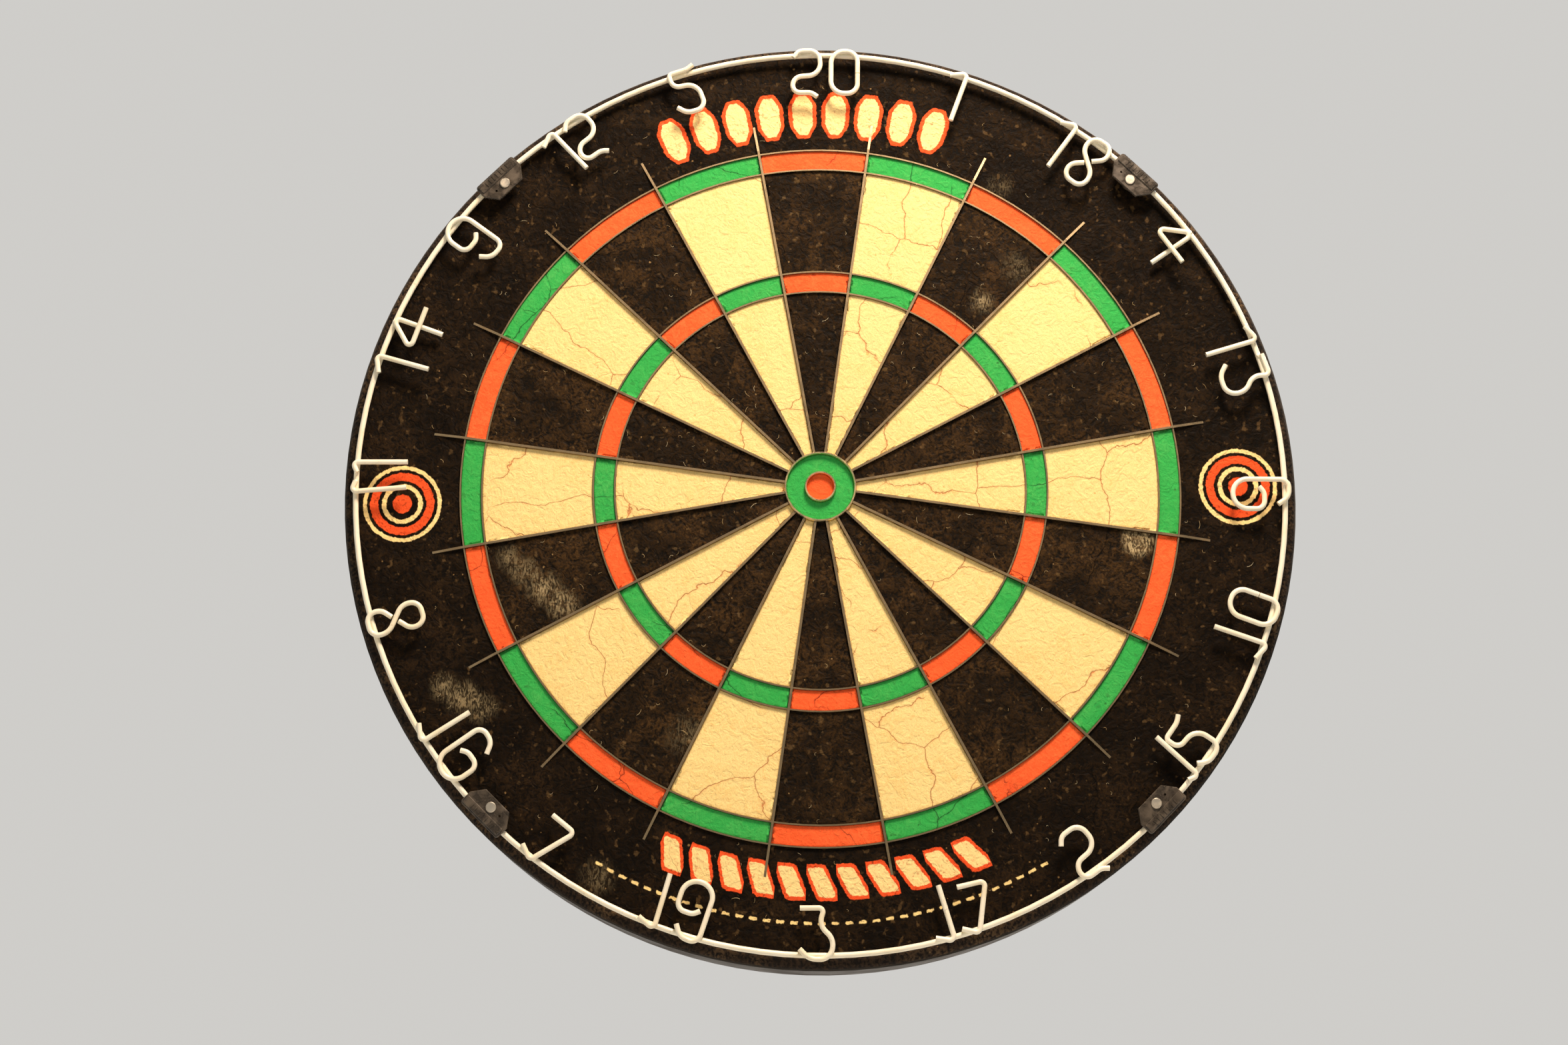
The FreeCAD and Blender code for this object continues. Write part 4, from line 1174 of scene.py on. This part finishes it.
# ---------------------------------------------------------------- number ring
@dataclass
class NumberRing:
    """The enamelled hoop and numbers, with the lumps of their spot welds."""

    numbers: tuple[str, ...]
    hoop_radius: float
    hoop_level: float
    wire: float = MM * 1.25
    seed: int = 7
    near: float = MM * 0.45         # how far off the hoop's middle a crossing may be found
    gap: float = MM * 1.6           # a longer step along the hoop starts another crossing
    long_run: float = MM * 7.0      # a run that is welded at both of its ends
    end_room: float = MM * 2.2      # from the end of such a run to its weld

    def bead(self) -> bpy.types.Object:
        """One lump of weld under thick enamel, at the origin."""
        bpy.ops.object.select_all(action="DESELECT")
        bpy.ops.mesh.primitive_ico_sphere_add(subdivisions=2, radius=self.wire)
        lump = named("weld_lump")
        bpy.ops.object.mode_set(mode="EDIT")
        bpy.ops.mesh.select_all(action="SELECT")
        bpy.ops.transform.resize(value=(1.25, 1.0, 1.02))
        bpy.ops.transform.vertex_random(offset=self.wire * 0.1, seed=self.seed)
        bpy.ops.mesh.vertices_smooth(factor=0.4)
        bpy.ops.object.mode_set(mode="OBJECT")
        modifier = lump.modifiers.new("rounding", "SUBSURF")
        modifier.levels = modifier.render_levels = 1
        finish_modifiers(lump)
        bpy.ops.object.shade_smooth()
        return lump

    def crossings(self, name: str) -> list[float]:
        """Where a number's wire crosses the hoop.

        Args:
            name: the number's CAD node.

        Returns:
            Angles clockwise from the top, in radians.
        """
        near = []
        for vertex in frame["nodes"][name].data.vertices:
            place = vertex.co
            if abs(math.hypot(place.x, place.z) - self.hoop_radius) < self.near:
                if place.y > self.hoop_level - self.wire * 1.4:
                    near.append(math.atan2(place.x, place.z) % math.tau)
        near.sort()
        groups: list[list[float]] = []
        for angle in near:
            if groups and (angle - groups[-1][-1]) * self.hoop_radius < self.gap:
                groups[-1].append(angle)
            else:
                groups.append([angle])
        middles = []
        for group in groups:
            length = (group[-1] - group[0]) * self.hoop_radius
            if length > self.long_run:
                inset = self.end_room / self.hoop_radius
                middles += [group[0] + inset, group[-1] - inset]
            else:
                middles.append((group[0] + group[-1]) / 2)
        return middles

    def build(self) -> None:
        """Dress the wires and add the weld lumps."""
        enamel = dress_nodes(("number_hoop", *self.numbers), WIRE_ENAMEL)
        luck = random.Random(self.seed)
        lump = self.bead()
        copies = []
        for name in self.numbers:
            for angle in self.crossings(name):
                spot = Vector((self.hoop_radius * math.sin(angle), self.hoop_level - self.wire * 0.72,
                               self.hoop_radius * math.cos(angle)))
                turn = Matrix.Rotation(angle, 4, "Y")
                size = Matrix.Scale(luck.uniform(0.85, 1.08), 4)
                copies.append(copied(lump, Matrix.Translation(spot) @ turn @ size))
        discard(lump)
        welds = join(copies, "weld_lumps")
        dress(welds, enamel)
        mount(welds, "number_ring")


@dataclass
class RingClips:
    """The four plastic clips and the nails that they turn on."""

    clips: tuple[str, ...]

    def build(self) -> None:
        """Dress the clips and nails."""
        dress_nodes(self.clips, CLIP_PLASTIC)
        dress_nodes(("clip_nails",), NAIL_PLATE)


@dataclass
class BoardBack:
    """The pressed-wood back, its pads, the bush, the band and the sisal disc itself."""

    def build(self) -> None:
        """Dress the parts behind the face."""
        dress_nodes(("backboard",), CHIPBOARD)
        dress_nodes(("sisal_core",), CORE_FIBRE)
        dress_nodes(("steel_band", "band_clasp", "band_rivets"), BAND_STEEL)
        dress_nodes(("hanger_bush",), BRASS)
        dress_nodes(("spacer_pads",), PAD_RUBBER)
        dress_nodes(("pad_screws",), ZINC)


@dataclass
class WallHanger:
    """The wall bracket, its screws and the screw that the board hangs on."""

    def build(self) -> None:
        """Dress the hanger."""
        dress_nodes(("wall_bracket",), BRACKET_PAINT)
        dress_nodes(("bracket_screws", "hanging_screw"), ZINC)


# ---------------------------------------------------------------- studio
@dataclass
class Studio:
    """Pale floor, soft lights and the camera."""

    lens: float = 55.851
    eye: Vector = field(default_factory=lambda: Vector((-0.02319, -1.16034, -0.29049)))
    right: Colour = (0.99986, -0.00105, -0.01658)
    up: Colour = (0.01585, -0.23861, 0.97099)
    back: Colour = (-0.00498, -0.97112, -0.23856)
    floor_level: float = -0.55

    def floor(self) -> None:
        """A plain pale floor."""
        bpy.ops.object.select_all(action="DESELECT")
        bpy.ops.mesh.primitive_plane_add(size=12, location=(0, 0, self.floor_level))
        plane = settle(named("studio_floor"))
        graph = Graph("pale_floor")
        graph.set(Base_Color=(0.72, 0.71, 0.69), Roughness=0.9)
        dress(plane, graph.material)

    def lamp(self, name: str, place: Vector, size: float, power: float, colour: Colour) -> None:
        """Set one soft square light aimed at the board.

        Args:
            name: the light's name.
            place: where it stands.
            size: its side.
            power: its power in watts.
            colour: its colour.
        """
        light = bpy.data.lights.new(name, "AREA")
        light.size = size
        light.energy = power
        light.color = colour
        lamp = bpy.data.objects.new(name, light)
        lamp.location = place
        lamp.rotation_euler = (-place).to_track_quat("-Z", "Y").to_euler()
        bpy.context.collection.objects.link(lamp)

    def camera(self) -> None:
        """The camera at the view that the board is judged from."""
        lens = bpy.data.cameras.new("main_camera")
        lens.lens = self.lens
        lens.sensor_width = 36.0
        camera = bpy.data.objects.new("main_camera", lens)
        axes = Matrix((self.right, self.up, self.back)).transposed()
        camera.matrix_world = Matrix.Translation(self.eye) @ axes.to_4x4()
        bpy.context.collection.objects.link(camera)
        bpy.context.scene.camera = camera

    def surroundings(self) -> None:
        """A pale wall behind the board and a dimmer room in front of it."""
        world = bpy.data.worlds.new("pale_studio")
        world.use_nodes = True
        nodes, links = world.node_tree.nodes, world.node_tree.links
        axes = nodes.new("ShaderNodeSeparateXYZ")
        links.new(nodes.new("ShaderNodeTexCoord").outputs["Generated"], axes.inputs[0])
        fall = nodes.new("ShaderNodeMapRange")
        links.new(axes.outputs[1], fall.inputs["Value"])
        for name, value in (("From Min", -0.3), ("From Max", 0.3), ("To Min", 0.2), ("To Max", 0.78)):
            fall.inputs[name].default_value = value
        links.new(fall.outputs["Result"], nodes["Background"].inputs["Strength"])
        nodes["Background"].inputs["Color"].default_value = (0.80, 0.785, 0.755, 1.0)
        bpy.context.scene.world = world

    def build(self) -> None:
        """Build the whole studio."""
        self.floor()
        self.lamp("key_light", Vector((0.2, -0.55, 0.86)), 0.3, 20.5, (1.0, 0.795, 0.64))
        self.lamp("fill_light", Vector((-1.3, -1.6, 0.3)), 1.4, 3.5, (1.0, 0.88, 0.74))
        self.lamp("rear_light", Vector((0.9, 1.5, 1.1)), 1.0, 16.0, (1.0, 0.97, 0.92))
        self.surroundings()
        bpy.context.scene.view_settings.view_transform = "Standard"
        self.camera()


# ---------------------------------------------------------------- assembly
def measured(node: str) -> tuple[float, float]:
    """The least and greatest radius of a CAD node's vertices about the board's axis."""
    reaches = [math.hypot(vertex.co.x, vertex.co.z) for vertex in frame["nodes"][node].data.vertices]
    return min(reaches), max(reaches)


def main() -> None:
    """Build every sub-assembly in order."""
    logging.basicConfig(level=logging.INFO, format="%(message)s")
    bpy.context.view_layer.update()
    rings = {name: measured(f"{name}_ring") for name in (
        "double_outer", "double_inner", "treble_outer", "treble_inner", "outer_bull", "bull")}
    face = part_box("black_print")[0].y
    core_outer = measured("sisal_core")[1]
    hoop_low, hoop_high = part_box("number_hoop")
    hoop_radii = measured("number_hoop")
    field_outer = measured("border_print")[1]
    radii = {
        "inner_single": (rings["outer_bull"][1] + HAIR, rings["treble_inner"][0] - HAIR),
        "outer_single": (rings["treble_outer"][1] + HAIR, rings["double_inner"][0] - HAIR),
        "treble": (rings["treble_inner"][1] + HAIR, rings["treble_outer"][0] - HAIR),
        "double": (rings["double_inner"][1] + HAIR, rings["double_outer"][0] - HAIR),
        "outer_bull": (rings["bull"][1] + HAIR, rings["outer_bull"][0] - HAIR),
        "bull": (MM * 0.8, rings["bull"][0] - HAIR),
        "border": (rings["double_outer"][1] + HAIR, field_outer),
    }
    nodes = frame["nodes"]
    Studio().build()
    PrintedFace(face, radii, HALF_RADIAL).build()
    Rim(face, field_outer - RIM_LAP, core_outer).build()
    LooseFibres(face).build()
    BladeGrid().build()
    numbers = tuple(sorted(name for name in nodes if name.startswith("number_") and name != "number_hoop"))
    NumberRing(numbers, sum(hoop_radii) / 2, (hoop_low.y + hoop_high.y) / 2).build()
    RingClips(tuple(sorted(name for name in nodes if name.startswith("clip_") and name != "clip_nails"))).build()
    BoardBack().build()
    WallHanger().build()


if __name__ == "__main__":
    main()
